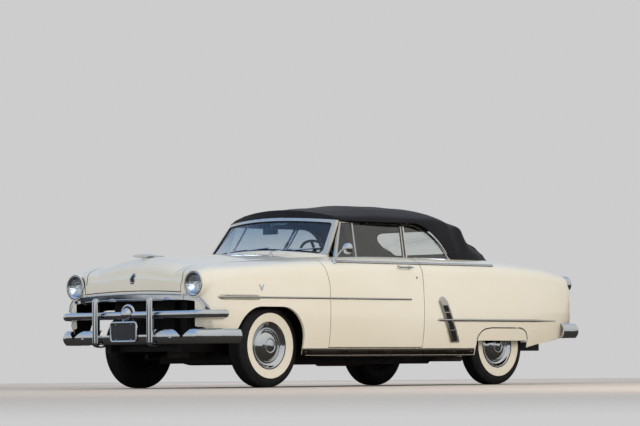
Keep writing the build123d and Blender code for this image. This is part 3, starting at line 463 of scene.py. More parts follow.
def rounded(points, radius, steps=5):
    """A closed outline with its corners rounded, as 2-D vectors."""
    out = []
    for i, here in enumerate(points):
        here, before, after = Vector(here), Vector(points[i - 1]), Vector(points[(i + 1) % len(points)])
        start, end = (here + (other - here).normalized() * min(radius, (other - here).length * 0.45)
                      for other in (before, after))
        out += [start * (1 - t) ** 2 + here * 2 * t * (1 - t) + end * t * t for t in ramp(0, 1, steps + 1)]
    return out


def loop_cut(points, passes):
    """Softens a closed loop's corners by cutting them."""
    for _ in range(passes):
        pairs = [(Vector(a), Vector(b)) for a, b in zip(points, points[1:] + points[:1])]
        points = [a.lerp(b, share) for a, b in pairs for share in (0.25, 0.75)]
    return points


def pad(corner, edge_u, edge_v):
    """Ray starts for draped() over a flat patch."""
    corner, edge_u, edge_v = Vector(corner), Vector(edge_u), Vector(edge_v)
    return lambda u, v: corner + edge_u * u + edge_v * v


def draped(name, tree, start, count, heading, lift, skins, depth=0.001, inside=None, mark=None,
           under=True):
    """A piece that follows a surface: a grid of rays from start(u, v), raised by lift(u, v) metres.

    inside(u, v) tells which cells there are; mark(u, v) gives a cell's finish, its under side's too if under.
    """
    nu, nv = count
    index, verts, faces, marks = {}, [], [], []
    for i in range(nu + 1):
        for j in range(nv + 1):
            place, normal = laid(tree, start(i / nu, j / nv), heading)
            if place is not None:
                index[i, j] = len(verts)
                verts += [place + normal * lift(i / nu, j / nv), place - normal * depth]

    def corners(i, j):
        return [(i, j), (i + 1, j), (i + 1, j + 1), (i, j + 1)]

    cells = [(i, j) for i in range(nu) for j in range(nv) if all(c in index for c in corners(i, j))
             and (inside is None or inside((i + 0.5) / nu, (j + 0.5) / nv))]
    present = set(cells)
    for i, j in cells:
        ring = [index[c] for c in corners(i, j)]
        skin = mark((i + 0.5) / nu, (j + 0.5) / nv) if mark else 0
        faces += [ring, [k + 1 for k in reversed(ring)]]
        marks += [skin, skin * under]
        for k, beside in enumerate(((i, j - 1), (i + 1, j), (i, j + 1), (i - 1, j))):
            if beside not in present:
                a, b = ring[k], ring[(k + 1) % 4]
                faces.append([b, a, a + 1, b + 1])
        marks += [skin] * (len(faces) - len(marks))
    used = sorted({i for face in faces for i in face})
    where = {old: new for new, old in enumerate(used)}
    return meshed(name, [verts[i] for i in used], [[where[i] for i in f] for f in faces], skins, marks)


def copied(name, node, keep, skin):
    """A merged copy of those solids of a CAD node that keep(middle, size) picks."""
    shape = bmesh.new()
    shape.from_mesh(nodes[node].data)
    bmesh.ops.remove_doubles(shape, verts=shape.verts, dist=1e-5)
    left = set(shape.verts)
    dropped = []
    while left:
        island, stack = [], [left.pop()]
        while stack:
            vert = stack.pop()
            island.append(vert)
            for edge in vert.link_edges:
                other = edge.other_vert(vert)
                if other in left:
                    left.remove(other)
                    stack.append(other)
        low = Vector([min(v.co[i] for v in island) for i in range(3)])
        high = Vector([max(v.co[i] for v in island) for i in range(3)])
        if not keep((low + high) / 2, high - low):
            dropped += island
    bmesh.ops.delete(shape, geom=dropped, context="VERTS")
    data = bpy.data.meshes.new(name)
    shape.to_mesh(data)
    shape.free()
    data.materials.append(skin)
    return shown(name, data, 30)


def boxes(name, rows, skin):
    """Boxes with cut edges, each between a low and a high corner, as one piece."""
    verts, faces = [], []
    for low, high in rows:
        shape = bmesh.new()
        bmesh.ops.create_cube(shape, size=1.0)
        for vert in shape.verts:
            vert.co = Vector([(l + h) / 2 + c * (h - l) for l, h, c in zip(low, high, vert.co)])
        size = min(h - l for l, h in zip(low, high))
        bmesh.ops.bevel(shape, geom=list(shape.edges), offset=size * 0.18, segments=3, affect="EDGES", profile=0.5)
        faces += [[v.index + len(verts) for v in face.verts] for face in shape.faces]
        verts += [tuple(v.co) for v in shape.verts]
        shape.free()
    return meshed(name, verts, faces, skin)


# ---------------------------------------------------------------- tyres and wheels
# Half section of the tyre's wall from the bead out: radius, offset
SIDEWALL = (
    (0.1905, 0.050), (0.1905, 0.064), (0.193, 0.0705), (0.197, 0.0725), (0.206, 0.0755), (0.208, 0.0768),
    (0.210, 0.0763), (0.225, 0.0812), (0.245, 0.0850), (0.262, 0.0860), (0.2675, 0.0858), (0.2695, 0.0866),
    (0.272, 0.0866), (0.274, 0.0855), (0.285, 0.0843), (0.297, 0.0812), (0.299, 0.0822), (0.302, 0.0820),
    (0.304, 0.0805), (0.316, 0.0765), (0.326, 0.0715), (0.334, 0.0665), (0.3385, 0.0625), (0.3415, 0.0585),
    (0.3430, 0.0540),
)
WHITE_BAND = (0.195, 0.268)
GROOVE_R, RIB_R = 0.3375, 0.3448
RIBS = ((0.0415, 0.0275), (0.0235, 0.0090))
ZIGZAGS, ZIGZAG = 56, 0.0022
TYRE_STEPS = 224


def tyre_outline():
    """The whole closed section: outer wall, ribbed tread, inner wall. Only the outer wall is white."""
    half = [(r, x, int(WHITE_BAND[0] < r < WHITE_BAND[1])) for r, x in SIDEWALL]
    half += [(0.3440, 0.0500), (0.3445, 0.0455), (GROOVE_R, 0.0440)]
    for start, end in RIBS:
        half += [(GROOVE_R, start + 0.0015), (RIB_R, start), (RIB_R + 0.0001, (start + end) / 2), (RIB_R, end),
                 (GROOVE_R, end - 0.0015)]
    half += [(GROOVE_R, 0.0065), (RIB_R, 0.0050)]
    return half + [(0.3450, 0.0)] + [(point[0], -point[1]) for point in reversed(half)]


TYRE = tyre_outline()


def rib_zigzag(row, turn):
    """Shifts the tread's groove edges to and fro, as a moulded rib tread has them."""
    first = len(SIDEWALL) + 1
    if not first <= row < len(TYRE) - first:
        return 0.0
    return ZIGZAG * (4 * abs(turn * ZIGZAGS / TYRE_STEPS % 1 - 0.5) - 1)


# Closed section of the stepped full cover in front, and of rim and drum behind: radius, offset
COVER_FRONT = (
    (0.0, 0.0925), (0.020, 0.0915), (0.034, 0.0885), (0.038, 0.0865), (0.041, 0.0868), (0.044, 0.0862),
    (0.047, 0.0840), (0.052, 0.0838), (0.055, 0.0860), (0.059, 0.0868), (0.0625, 0.0858), (0.0645, 0.0835),
    (0.075, 0.0812), (0.090, 0.0765), (0.104, 0.0700), (0.116, 0.0625), (0.125, 0.0550), (0.1285, 0.0505),
    (0.1310, 0.0495), (0.1330, 0.0510), (0.1350, 0.0522), (0.1375, 0.0512), (0.1400, 0.0480), (0.1450, 0.0462),
    (0.1520, 0.0468), (0.1600, 0.0505), (0.1680, 0.0560), (0.1750, 0.0625), (0.1800, 0.0675), (0.1835, 0.0705),
    (0.1870, 0.0718), (0.1895, 0.0708), (0.1900, 0.0680),
)
RIM_BACK = ((0.1895, 0.0560), (0.180, 0.040), (0.180, -0.050), (0.1895, -0.054), (0.1895, -0.066),
            (0.168, -0.062), (0.160, 0.014), (0.150, 0.010), (0.150, -0.040), (0.0, -0.040))
COVER = [(r, x, 0) for r, x in COVER_FRONT] + [(r, x, 1) for r, x in RIM_BACK]

for corner, (x, y) in AXLES.items():
    side, wheel = (1 if x > 0 else -1), "wheel_" + corner
    put(turned("tyre_wall_" + corner, TYRE, (x, y, HUB_Z), TYRE_STEPS, (black_rubber, white_rubber), side,
               rib_zigzag, closed=True), "tyre_rubber", wheel, "tyre_" + corner)
    put(turned("wheel_cover_" + corner, COVER, (x, y, HUB_Z), 128, (chrome, chassis_black), side),
        "bright_chrome", wheel, wheel)

# The spare wheel lies flat in the trunk, and its rim is a flatter one
SPARE = (0.185, 1.930, 0.637)
put(turned("spare_tyre", TYRE, SPARE, 112, (black_rubber, black_rubber), axis="z", closed=True), "tyre_rubber")
put(turned("spare_rim", [(r, x * 0.6 - 0.012) for r, x, _ in COVER], SPARE, 64, chassis_black, axis="z"),
    "underbody_paint")


# ---------------------------------------------------------------- cloth top
BOWS = (-0.40, 0.0, 0.42, 0.80)
HEADER_Y, LAST_FOLD_Y = -0.66, 1.08
SEAM_X = 0.43
COLUMNS = 52
CLOTH_LIFT = 0.0008
BACK_LIGHT = ((-0.530, 1.165), (0.530, 1.165), (0.485, 1.382), (-0.485, 1.382))


def clamped(value):
    return min(max(value, 0.0), 1.0)


def cloth_stations():
    """Pivot point and middle direction of each row, from the header to the rear edge."""
    rows = []
    for i in range(26):
        tilt = math.radians(40 + i * 1.95)
        rows.append(((0, -0.55, 1.30), (-math.cos(tilt), math.sin(tilt))))
    for i in range(50):
        y = -0.535 + 0.025 * i
        rows.append(((0, y, 1.30 - 0.27 * clamped((y - 0.28) / 0.42)), (0.0, 1.0)))
    for i in range(1, 57):
        t = i / 56
        tilt = math.radians(90 - 76.5 * t)
        rows.append(((0, 0.70 + 0.44 * t, 1.03), (math.cos(tilt), math.sin(tilt))))
    return rows


def cloth_hit(tree, pane, pivot, heading):
    """Where a line from the pivot leaves the top's outer face; the back light counts as cloth."""
    pivot, heading = Vector(pivot), Vector(heading).normalized()
    found = []
    for layer, lift in ((tree, 0.0), (pane, 0.005)):
        place, _, _, _ = layer.ray_cast(pivot + heading * 3.0, -heading, 2.9)
        if place is None or (place - pivot).dot(heading) < 0.1:
            continue
        if lift and (abs(place.x) > 0.335 or place.y < 0.9):
            continue
        found.append(((place - pivot).dot(heading) + lift, place + heading * lift))
    return max(found)[1] if found else None


def fine_lift(place):
    """Height of the bows, sag and sewn seams over the stretched cloth, in metres."""
    x, y, z = place
    lift = sum(0.0016 * math.exp(-((y - bow) / 0.028) ** 2) for bow in BOWS)
    lift += 0.004 * math.exp(-((y - BOWS[-1] - 0.03) / 0.022) ** 2)
    marks = (HEADER_Y,) + BOWS + (LAST_FOLD_Y,)
    for near_bow, far_bow in zip(marks, marks[1:]):
        if near_bow < y < far_bow:
            sag = math.sin(math.pi * (y - near_bow) / (far_bow - near_bow))
            lift -= 0.0036 * sag * sag * max(0.0, 1 - (x / 0.62) ** 2)
    if abs(abs(x) - SEAM_X) < 0.011 and z > 1.15:
        lift += 0.0014
    return lift


def drawn_in(place):
    """How far the rear corners are pulled in, so that they fall straight from the last bow to the deck."""
    x, y, z = place
    fall = max(0.0, 1 - ((z - 1.318) / 0.17) ** 2) * clamped((y - 1.02) / 0.12)
    return 0.05 * fall * clamped((abs(x) - 0.36) / 0.18)


def cloth_grid():
    """Rows of points from the header to the deck, laid over the CAD top's outer face."""
    tree, pane = surface("soft_top"), surface("fixed_glass")
    grid = []
    for pivot, (ahead, up) in cloth_stations():
        def hit(angle):
            aim = (math.sin(angle), ahead * math.cos(angle), up * math.cos(angle))
            return cloth_hit(tree, pane, pivot, aim)
        if hit(0.0) is None:
            continue
        # The row ends where the last ray still meets the top
        low, high = 0.0, math.radians(89.9)
        for i in range(60):
            if hit(math.radians(1.5 * i)) is None:
                high = math.radians(1.5 * i)
                break
            low = math.radians(1.5 * i)
        for _ in range(18):
            middle = (low + high) / 2
            if hit(middle) is None:
                high = middle
            else:
                low = middle
        half = [hit(low * i / COLUMNS) for i in range(COLUMNS + 1)]
        last = half[0]
        for i, place in enumerate(half):
            last = place if place is not None else last
            half[i] = last + (Vector(pivot) - last).normalized() * drawn_in(last)
        middle = Vector((0, half[0].y, half[0].z))
        grid.append([Vector((-p.x, p.y, p.z)) for p in reversed(half[1:])] + [middle] + half[1:])
    return grid


def back_light_ring(y):
    """Rounded outline of the back light, in its front view, at a depth y."""
    return [(spot.x, y, spot.y) for spot in rounded(BACK_LIGHT, 0.085, 8)]


def cloth_sheet(grid, faces):
    """The sheet itself: smoothed, raised over its bows, with a thickness and the hole of the back light."""
    data = bpy.data.meshes.new("top_cloth")
    data.from_pydata([tuple(p) for row in grid for p in row], [], faces)
    data.materials.append(top_cloth)
    data.materials.append(head_lining)
    shape = bmesh.new()
    shape.from_mesh(data)
    bmesh.ops.recalc_face_normals(shape, faces=shape.faces)
    shape.normal_update()
    if sum(face.normal.z for face in shape.faces) < 0:
        bmesh.ops.reverse_faces(shape, faces=shape.faces)
    for _ in range(2):
        bmesh.ops.smooth_vert(shape, verts=[v for v in shape.verts if not v.is_boundary], factor=0.5,
                              use_axis_x=True, use_axis_y=True, use_axis_z=True)
    shape.normal_update()
    for vert in shape.verts:
        vert.co += vert.normal * (CLOTH_LIFT + fine_lift(vert.co))
    shape.to_mesh(data)
    shape.free()
    top = shown("top_cloth", data, 50)
    count = len(back_light_ring(0))
    cutter = meshed("back_light_cutter", back_light_ring(0.9) + back_light_ring(1.7),
                    quads(2, count) + [list(range(count)), [count + i for i in range(count)]], top_cloth)
    thick = top.modifiers.new("thickness", "SOLIDIFY")
    thick.thickness = 0.004
    thick.offset = -1
    thick.material_offset = 1
    hole = top.modifiers.new("back_light", "BOOLEAN")
    hole.object = cutter
    hole.solver = "EXACT"
    applied(top).set_sharp_from_angle(angle=math.radians(50))
    bpy.data.objects.remove(cutter)
    return top


grid = cloth_grid()
cloth_faces = quads(len(grid), len(grid[0]), around=False)
top = cloth_sheet(grid, cloth_faces)
cloth_tree = BVHTree.FromPolygons([p for row in grid for p in row], cloth_faces)

# Bound edges: a sewn welt down both sides, the bead that holds the rear hem, and the back light's frame
welts = []
for name, path, centre, radius in (("left", [row[-1] for row in grid], (0, 0.2, 1.1), 0.0055),
                                   ("right", [row[0] for row in grid], (0, 0.2, 1.1), 0.0055),
                                   ("rear", grid[-1], (0, 0.4, 1.0), 0.006)):
    outs = [(p - Vector(centre)).normalized() for p in path]
    welts.append(swept("top_welt_" + name, path, outs, round_section(radius), top_cloth))
path, outs = traced(cloth_tree, [(x, 2.0, z) for x, _, z in back_light_ring(1.7)], (0, -1, 0))
welts.append(swept("back_light_welt", path, outs, bow_section(0.026, 0.006), top_cloth, ring=True))
put(top, "top_cloth", stands_for="soft_top")
for piece in welts:
    put(piece, "top_cloth")


# ---------------------------------------------------------------- lamps
LAMP_RIM = ((0.0900, -2.3640), (0.0915, -2.3655), (0.0940, -2.3660), (0.0975, -2.3650), (0.1003, -2.3620),
            (0.1020, -2.3570), (0.1028, -2.3500), (0.1030, -2.3400), (0.1030, -2.3225), (0.0960, -2.3225),
            (0.0925, -2.3400), (0.0900, -2.3520))
LAMP_BOWL = [(0.090 * i / 14, -2.3245 - 0.030 * (i / 14) ** 2) for i in range(15)]
LAMP_BOWL += [(0.0910, -2.3545), (0.0910, -2.3530)]
LAMP_BOWL += [(0.090 * i / 14, -2.3232 - 0.030 * (i / 14) ** 2) for i in range(14, -1, -1)]
LAMP_CAP = ((0.0, -2.3500), (0.006, -2.3497), (0.010, -2.3480), (0.012, -2.3450), (0.012, -2.3400), (0.0, -2.3400))
LENS_R, LENS_DOME, LENS_FRONT_Y = 0.0895, 0.180, -2.3683


def fluted_lens(name, x):
    """Pressed lens, domed outside, with upright flutes and a brick band inside."""
    steps, rings = 120, 26
    verts = []
    for inner in (False, True):
        for r in ramp(0, LENS_R, rings + 1):
            for j in range(steps):
                a = 2 * math.pi * j / steps
                u, v = r * math.cos(a), r * math.sin(a)
                y = LENS_FRONT_Y + LENS_DOME - math.sqrt(LENS_DOME ** 2 - r * r)
                if inner:
                    flute = 0.0007 * math.cos(2 * math.pi * u / (0.0075 if abs(v) > 0.028 else 0.0115))
                    brick = 0.0005 * math.cos(2 * math.pi * v / 0.018)
                    y += 0.0042 + (flute + brick) * (1 - (r / LENS_R) ** 6)
                verts.append((x + u, y, LAMP_Z + v))
    outer = [quad if quad[0] >= steps else quad[1:] for quad in quads(rings + 1, steps)]
    count, last = (rings + 1) * steps, rings * steps
    edge = [[last + j, last + (j + 1) % steps, count + last + (j + 1) % steps, count + last + j] for j in range(steps)]
    faces = outer + [[count + i for i in face] for face in outer] + edge
    return meshed(name, verts, faces, lens_glass, sharp=60)


lamp_face = surface("lamp_lenses")
for side, tag in SIDES:
    centre = (side * LAMP_X, 0, LAMP_Z)
    put(turned("headlamp_bezel_" + tag, LAMP_RIM, centre, 96, chrome, axis="y", closed=True), "bright_chrome",
        stands_for="headlamp_rims")
    put(turned("headlamp_bowl_" + tag, LAMP_BOWL, centre, 96, lamp_silver, axis="y"), "bright_chrome")
    put(turned("headlamp_cap_" + tag, LAMP_CAP, centre, 32, lamp_silver, axis="y"), "bright_chrome")
    put(fluted_lens("headlamp_lens_" + tag, side * LAMP_X), "clear_lens", stands_for="lamp_lenses")
    patch = pad((0.722 if side > 0 else -0.834, -2.8, 0.498), (0.112, 0, 0), (0, 0, 0.046))
    put(draped("parking_lens_" + tag, lamp_face, patch, (84, 12), (0, 1, 0),
               lambda u, v: 0.0015 + 0.0016 * math.cos(2 * math.pi * 14 * u), parking_lens, 0.0005),
        "clear_lens", stands_for="lamp_lenses")

# Tail lamps: bezel, stepped ruby lens and the bowl behind it
TAIL_BEZEL = ((0.0600, 2.300), (0.0625, 2.306), (0.0665, 2.3075), (0.0705, 2.305), (0.0735, 2.298),
              (0.0745, 2.285), (0.0745, 2.262), (0.0735, 2.225), (0.060, 2.225))
TAIL_LENS = [(0.0, 2.3190), (0.010, 2.3188), (0.0165, 2.3175), (0.0175, 2.3160)]
TAIL_LENS += [(0.0175 + 0.0435 * i / 12, 2.3160 - 0.013 * (i / 12) ** 1.8 + 0.0009 * (i % 2)) for i in range(1, 13)]
TAIL_LENS += [(0.0610, 2.2990), (0.0600, 2.2960)]
TAIL_LENS += [(0.0600 * (1 - i / 6), 2.2965 + 0.012 * (1 - (1 - i / 6) ** 2)) for i in range(1, 7)]
TAIL_BOWL = ((0.0600, 2.2950), (0.050, 2.2860), (0.030, 2.2770), (0.0, 2.2740), (0.030, 2.2755),
             (0.051, 2.2845), (0.0600, 2.2930))
for side, tag in SIDES:
    for name, outline, steps, skin, slot, closed in (
            ("tail_bezel_", TAIL_BEZEL, 80, chrome, "bright_chrome", True),
            ("tail_lens_", TAIL_LENS, 80, ruby_lens, "red_lens", False),
            ("tail_bowl_", TAIL_BOWL, 64, lamp_silver, "bright_chrome", True)):
        put(turned(name + tag, outline, (side * 0.775, 0, 0.897), steps, skin, axis="y", closed=closed), slot,
            stands_for="tail_lamps")


# ---------------------------------------------------------------- glass and windscreen fittings
glass_face = surface("fixed_glass")


def on_screen(place):
    return place.y < -0.4


def in_back_light(u, v):
    x, z = -0.56 + 1.12 * u, 1.145 + 0.255 * v
    reach = 0.545 - (z - 1.155) / 0.237 * 0.045
    corner = 0.07
    dx, dz = abs(x) - (reach - corner), max(1.155 + corner - z, z - (1.392 - corner))
    return abs(x) < reach and 1.155 < z < 1.392 and not (dx > 0 and dz > 0 and math.hypot(dx, dz) > corner)


for piece in (copied("windscreen_glass", "fixed_glass", lambda middle, size: on_screen(middle), window_glass),
              copied("quarter_glass", "fixed_glass", lambda middle, size: -0.4 < middle.y < 0.9, window_glass),
              draped("back_light_pane", cloth_tree, pad((-0.56, 2.0, 1.145), (1.12, 0, 0), (0, 0, 0.255)),
                     (140, 32), (0, -1, 0), lambda u, v: -0.0048, window_glass, 0.0078, inside=in_back_light)):
    put(piece, "window_glass", stands_for="fixed_glass")


def screen_outline(inset):
    """Edge of the windscreen glass in front view, as (x, z) points."""
    low, high, foot, top = 0.668 - inset, 0.612 - inset, 1.120 + inset, 1.390 - inset
    flank = [(low + (high - low) * i / 8, foot + (top - foot) * i / 8) for i in range(1, 8)]
    return ([(low * t, foot + 0.044 * (1 - t * t)) for t in ramp(-1, 1, 15)] + flank
            + [(high * t, top + 0.031 * (1 - t * t)) for t in ramp(1, -1, 15)]
            + [(-x, z) for x, z in reversed(flank)])


path, outs = traced(glass_face, [(x, -3.0, z) for x, z in loop_cut(screen_outline(0.004), 2)], (0, 1, 0), on_screen)
put(swept("windscreen_gasket", path, outs, bow_section(0.019, 0.006, foot=0.002), weatherstrip, ring=True),
    "tyre_rubber")

WIPER_POST = ((0.0, 0.030), (0.006, 0.029), (0.0095, 0.025), (0.0105, 0.018), (0.0105, 0.012), (0.016, 0.010),
              (0.018, 0.005), (0.018, -0.004), (0.0, -0.004))


def wiper(name, pivot_x, reach, lean):
    """Arm, spring head and blade lying along the foot of the windscreen."""
    foot, _ = laid(surface("cowl_panel", "hood"), (pivot_x, -1.045, 1.6), (0, 0, -1))
    put(turned(name + "_post", WIPER_POST, foot, 24, chrome, axis="z"), "bright_chrome")
    start = foot + Vector((0, 0, 0.024))
    starts = [(pivot_x + reach * (0.28 + 0.72 * t), -3.0, start.z + 0.012 + lean * t) for t in ramp(0, 1, 25)]
    places, outs = traced(glass_face, starts, (0, 1, 0), on_screen)
    blade = [place + out * 0.008 for place, out in zip(places, outs)]
    put(swept(name + "_squeegee", blade, outs, [(-0.0035, 0.002), (0.0035, 0.002), (0.001, -0.008), (-0.001, -0.008)],
              weatherstrip), "tyre_rubber")
    put(swept(name + "_holder", [place + out * 0.004 for place, out in zip(blade, outs)], outs,
              [(-0.004, 0.0), (0.004, 0.0), (0.0028, 0.004), (-0.0028, 0.004)], chrome), "bright_chrome")
    middle = blade[len(blade) // 2] + outs[len(blade) // 2] * 0.012
    arm = [start.lerp(middle, t) + Vector((0, -0.020, 0.006)) * math.sin(math.pi * t) for t in ramp(0, 1, 13)]
    put(swept(name + "_arm", arm, (0, -0.7, 0.7), [(-0.005, 0), (-0.003, 0.0035), (0.003, 0.0035), (0.005, 0)],
              chrome, scale=ramp(1.25, 0.55, 13)), "bright_chrome")


wiper("wiper_left", 0.300, 0.330, 0.012)
wiper("wiper_right", -0.200, 0.330, 0.016)


# ---------------------------------------------------------------- badges, spears, shields
def badge_reach(u, v):
    """0 at the badge's middle and 1 on its edge, a rounded upright shield."""
    return (abs(2 * u - 1) ** 2.6 + abs(2 * v - 1) ** 2.6) ** (1 / 2.6)


def badge_lift(u, v):
    reach = badge_reach(u, v)
    return 0.0065 - 0.0035 * abs(reach - 0.82) / 0.18 if reach > 0.64 else 0.004


put(draped("hood_badge", surface("hood", "nose_panel"), pad((-0.031, -3.0, 0.860), (0.062, 0, 0), (0, 0, 0.090)),
           (56, 80), (0, 1, 0), badge_lift, (chrome, badge_enamel), 0.002,
           inside=lambda u, v: badge_reach(u, v) < 1.0, mark=lambda u, v: int(badge_reach(u, v) < 0.66)),
    "bright_chrome", "hood")


def in_chevron(u, v):
    edge = abs(2 * u - 1)
    return edge < 0.15 + 0.85 * v and not (v > 0.42 and edge < (v - 0.42) * 1.05)


def spear_reach(u):
    """Half width of the spear's head, which starts in a round nose."""
    return (1 - (1 - min(u / 0.16, 1.0)) ** 2) ** 0.5


def spear_flutes(u, v):
    reach = abs(2 * v - 1) / max(spear_reach(u), 0.05)
    crown = 0.010 * max(0.0, 1 - reach ** 2) ** 0.6
    groove = 0.0016 * math.cos(2 * math.pi * 3.5 * (v - 0.5)) * (0.1 < u < 0.93)
    return 0.0015 + crown * (1 - 0.35 * max(0.0, (u - 0.75) / 0.25)) + groove * (reach < 0.75)


def in_spear(u, v):
    return abs(2 * v - 1) < spear_reach(u) * (1 - 0.25 * max(0.0, (u - 0.9) / 0.1))


SHIELD_CELLS = (30, 96)


def on_slats(u, v):
    """The dark slats between the gravel shield's frame and its two cross bars."""
    return 0.20 < u < 0.74 and 0.03 < v < 0.82 and all(abs(v - bar) >= 0.017 for bar in (0.27, 0.665))


def shield_lift(u, v):
    lift = 0.0055 + 0.004 * min(1.0, min(u, 1 - u) / 0.12)
    return lift - (0.0065 if int(v * 46) % 2 else 0.0035) if on_slats(u, v) else lift


def shield_mark(u, v):
    return int(on_slats(u + 0.5 / SHIELD_CELLS[0], v + 0.5 / SHIELD_CELLS[1]) and 0.20 < u < 0.74)


def shield_start(side):
    """Ray starts over a leaning shield with a rounded top."""
    def start(u, v):
        narrow = math.sqrt(max(0.0, 1 - ((v - 0.86) / 0.14) ** 2)) if v > 0.86 else 1.0
        u = 0.5 + (u - 0.5) * max(narrow, 0.02)
        return side * 1.2, 0.533 - 0.181 * v + 0.120 * u, 0.374 + 0.384 * v
    return start


flank = surface("fender_left", "fender_right", "side_mouldings", "quarter_left", "quarter_right")
shield_face = surface("gravel_shields", "quarter_left", "quarter_right")
for side, tag in SIDES:
    inwards = (-side, 0, 0)
    for piece in (
            draped("fender_badge_" + tag, flank, pad((side * 1.2, -1.818, 0.792), (0, 0.062, 0), (0, 0, 0.052)),
                   (40, 34), inwards, lambda u, v: 0.0045 - 0.003 * abs(2 * u - 1), chrome, inside=in_chevron),
            draped("fender_spear_head_" + tag, flank,
                   pad((side * 1.2, -2.236, 0.7165), (0, 0.420, 0), (0, 0, 0.043)), (110, 18), inwards,
                   spear_flutes, shield_satin, inside=in_spear),
            draped("gravel_shield_" + tag, shield_face, shield_start(side), SHIELD_CELLS, inwards, shield_lift,
                   (shield_satin, chassis_black), mark=shield_mark, under=False)):
        put(piece, "bright_chrome")

# Bullet bezel and groove
BULLET = (0, 0, 0.608)
put(turned("grille_bullet_ring", ((0.064, -2.4290), (0.068, -2.4330), (0.074, -2.4340), (0.081, -2.4320),
                                  (0.086, -2.4270), (0.088, -2.4200), (0.086, -2.4140), (0.078, -2.4100),
                                  (0.064, -2.4100)), BULLET, 96, chrome, axis="y", closed=True), "bright_chrome")
put(turned("grille_bullet_groove", ((0.0585, -2.4415), (0.0605, -2.4415), (0.0635, -2.4300), (0.0600, -2.4290)),
           BULLET, 96, chassis_black, axis="y", closed=True), "cast_parts")

# Plate frames: rounded bright frames with their bolts
FRAME_CORNER = 0.024
for name, (cx, cy, cz), side in (("front", (0, -2.4743, 0.464), -1), ("rear", (0, 2.4803, 0.476), 1)):
    path = []
    for quarter, (qx, qz) in enumerate(((1, 1), (-1, 1), (-1, -1), (1, -1))):
        for i in range(9):
            a = math.radians(90 * quarter + 11.25 * i)
            path.append((cx + qx * (0.1525 - FRAME_CORNER) + FRAME_CORNER * math.cos(a), cy,
                         cz + qz * (0.0775 - FRAME_CORNER) + FRAME_CORNER * math.sin(a)))
    put(swept("plate_frame_" + name, path, (0, side, 0), [(-0.0105, -0.001), (-0.0105, 0.004), (-0.005, 0.0085),
                                                          (0.005, 0.0085), (0.0105, 0.004), (0.0105, -0.001)],
              chrome, ring=True), "bright_chrome")
    heads = [turned("bolt", ((0.0, 0.0052), (0.003, 0.0050), (0.0055, 0.0038), (0.0065, 0.002), (0.0065, -0.0035),
                             (0.0, -0.0035)), (cx + x, cy, cz + z), 20, stainless, side, axis="y")
             for x in (-0.089, 0.089) for z in (-0.0605, 0.0605)]
    put(joined("plate_bolts_" + name, heads), "bright_chrome")


# ---------------------------------------------------------------- padded seats
def swollen(block, cap, voxel):
    """Blows a block up a little by cloth simulation, with no point moved further than cap."""
    block.modifiers.new("remesh", "REMESH").voxel_size = voxel
    data = applied(block)
    start = [v.co.copy() for v in data.vertices]
    cloth = block.modifiers.new("filling", "CLOTH")
    cloth.settings.quality = 4
    cloth.settings.use_pressure = True
    cloth.settings.uniform_pressure_force = 4
    cloth.settings.effector_weights.gravity = 0
    cloth.settings.tension_stiffness = 12
    cloth.point_cache.frame_start = 1
    cloth.point_cache.frame_end = 20
    for step in range(1, 21):
        bpy.context.scene.frame_set(step)
    puffed = block.evaluated_get(bpy.context.evaluated_depsgraph_get()).to_mesh()
    ends = [v.co.copy() for v in puffed.vertices]
    block.modifiers.clear()
    bpy.context.scene.frame_set(1)
    for vert, was, now in zip(data.vertices, start, ends):
        move = now - was
        vert.co = was + move * min(1.0, cap / max(move.length, 1e-9))
    smooth = block.modifiers.new("smooth", "SUBSURF")
    smooth.levels = smooth.render_levels = 1
    return applied(block)


def cushion(name, profile, x0, x1, pleats, facing):
    """A padded block with sewn pleats between two x places on the side that faces out, and its piping."""
    outline = rounded(profile, 0.035)
    centre = sum(outline, Vector((0, 0))) / len(outline)
    stations = [x0 + 0.006] + ramp(x0 + 0.020, x1 - 0.020, 13) + [x1 - 0.006]
    verts = []
    for x in stations:
        shrink = 0.012 if x in (stations[0], stations[-1]) else 0.0
        for spot in outline:
            spot = spot + (centre - spot).normalized() * shrink
            verts.append((x, spot.x, spot.y))
    count = len(outline)
    caps = [list(range(count)), [(len(stations) - 1) * count + j for j in range(count)]]
    block = meshed(name, verts, quads(len(stations), count) + caps, seat_trim, sharp=180)
    data = swollen(block, 0.012, 0.012)
    data.materials.clear()
    data.materials.append(seat_trim)
    shape = bmesh.new()
    shape.from_mesh(data)
    shape.normal_update()
    facing = Vector(facing).normalized()
    left, right, pitch = pleats
    for vert in shape.verts:
        x = vert.co.x
        side = max(0.0, vert.normal.dot(facing))
        if left - 0.01 < x < right + 0.01 and side > 0.35:
            phase = abs((x - left) / pitch % 1 - 0.5) * 2
            groove = max(0.0, (phase - 0.72) / 0.28) ** 2
            vert.co -= vert.normal * (0.0085 * groove * min(1.0, (side - 0.35) / 0.4))
    shape.to_mesh(data)
    shape.free()
    data.shade_smooth()
    for tag, x in (("a", x0 + 0.012), ("b", x1 - 0.012)):
        put(swept(name + "_welt_" + tag, [(x, spot.x, spot.y) for spot in outline],
                  [(0, spot.x - centre.x, spot.y - centre.y) for spot in outline], round_section(0.0045, 8),
                  seat_trim, ring=True), "seat_vinyl")
    return block


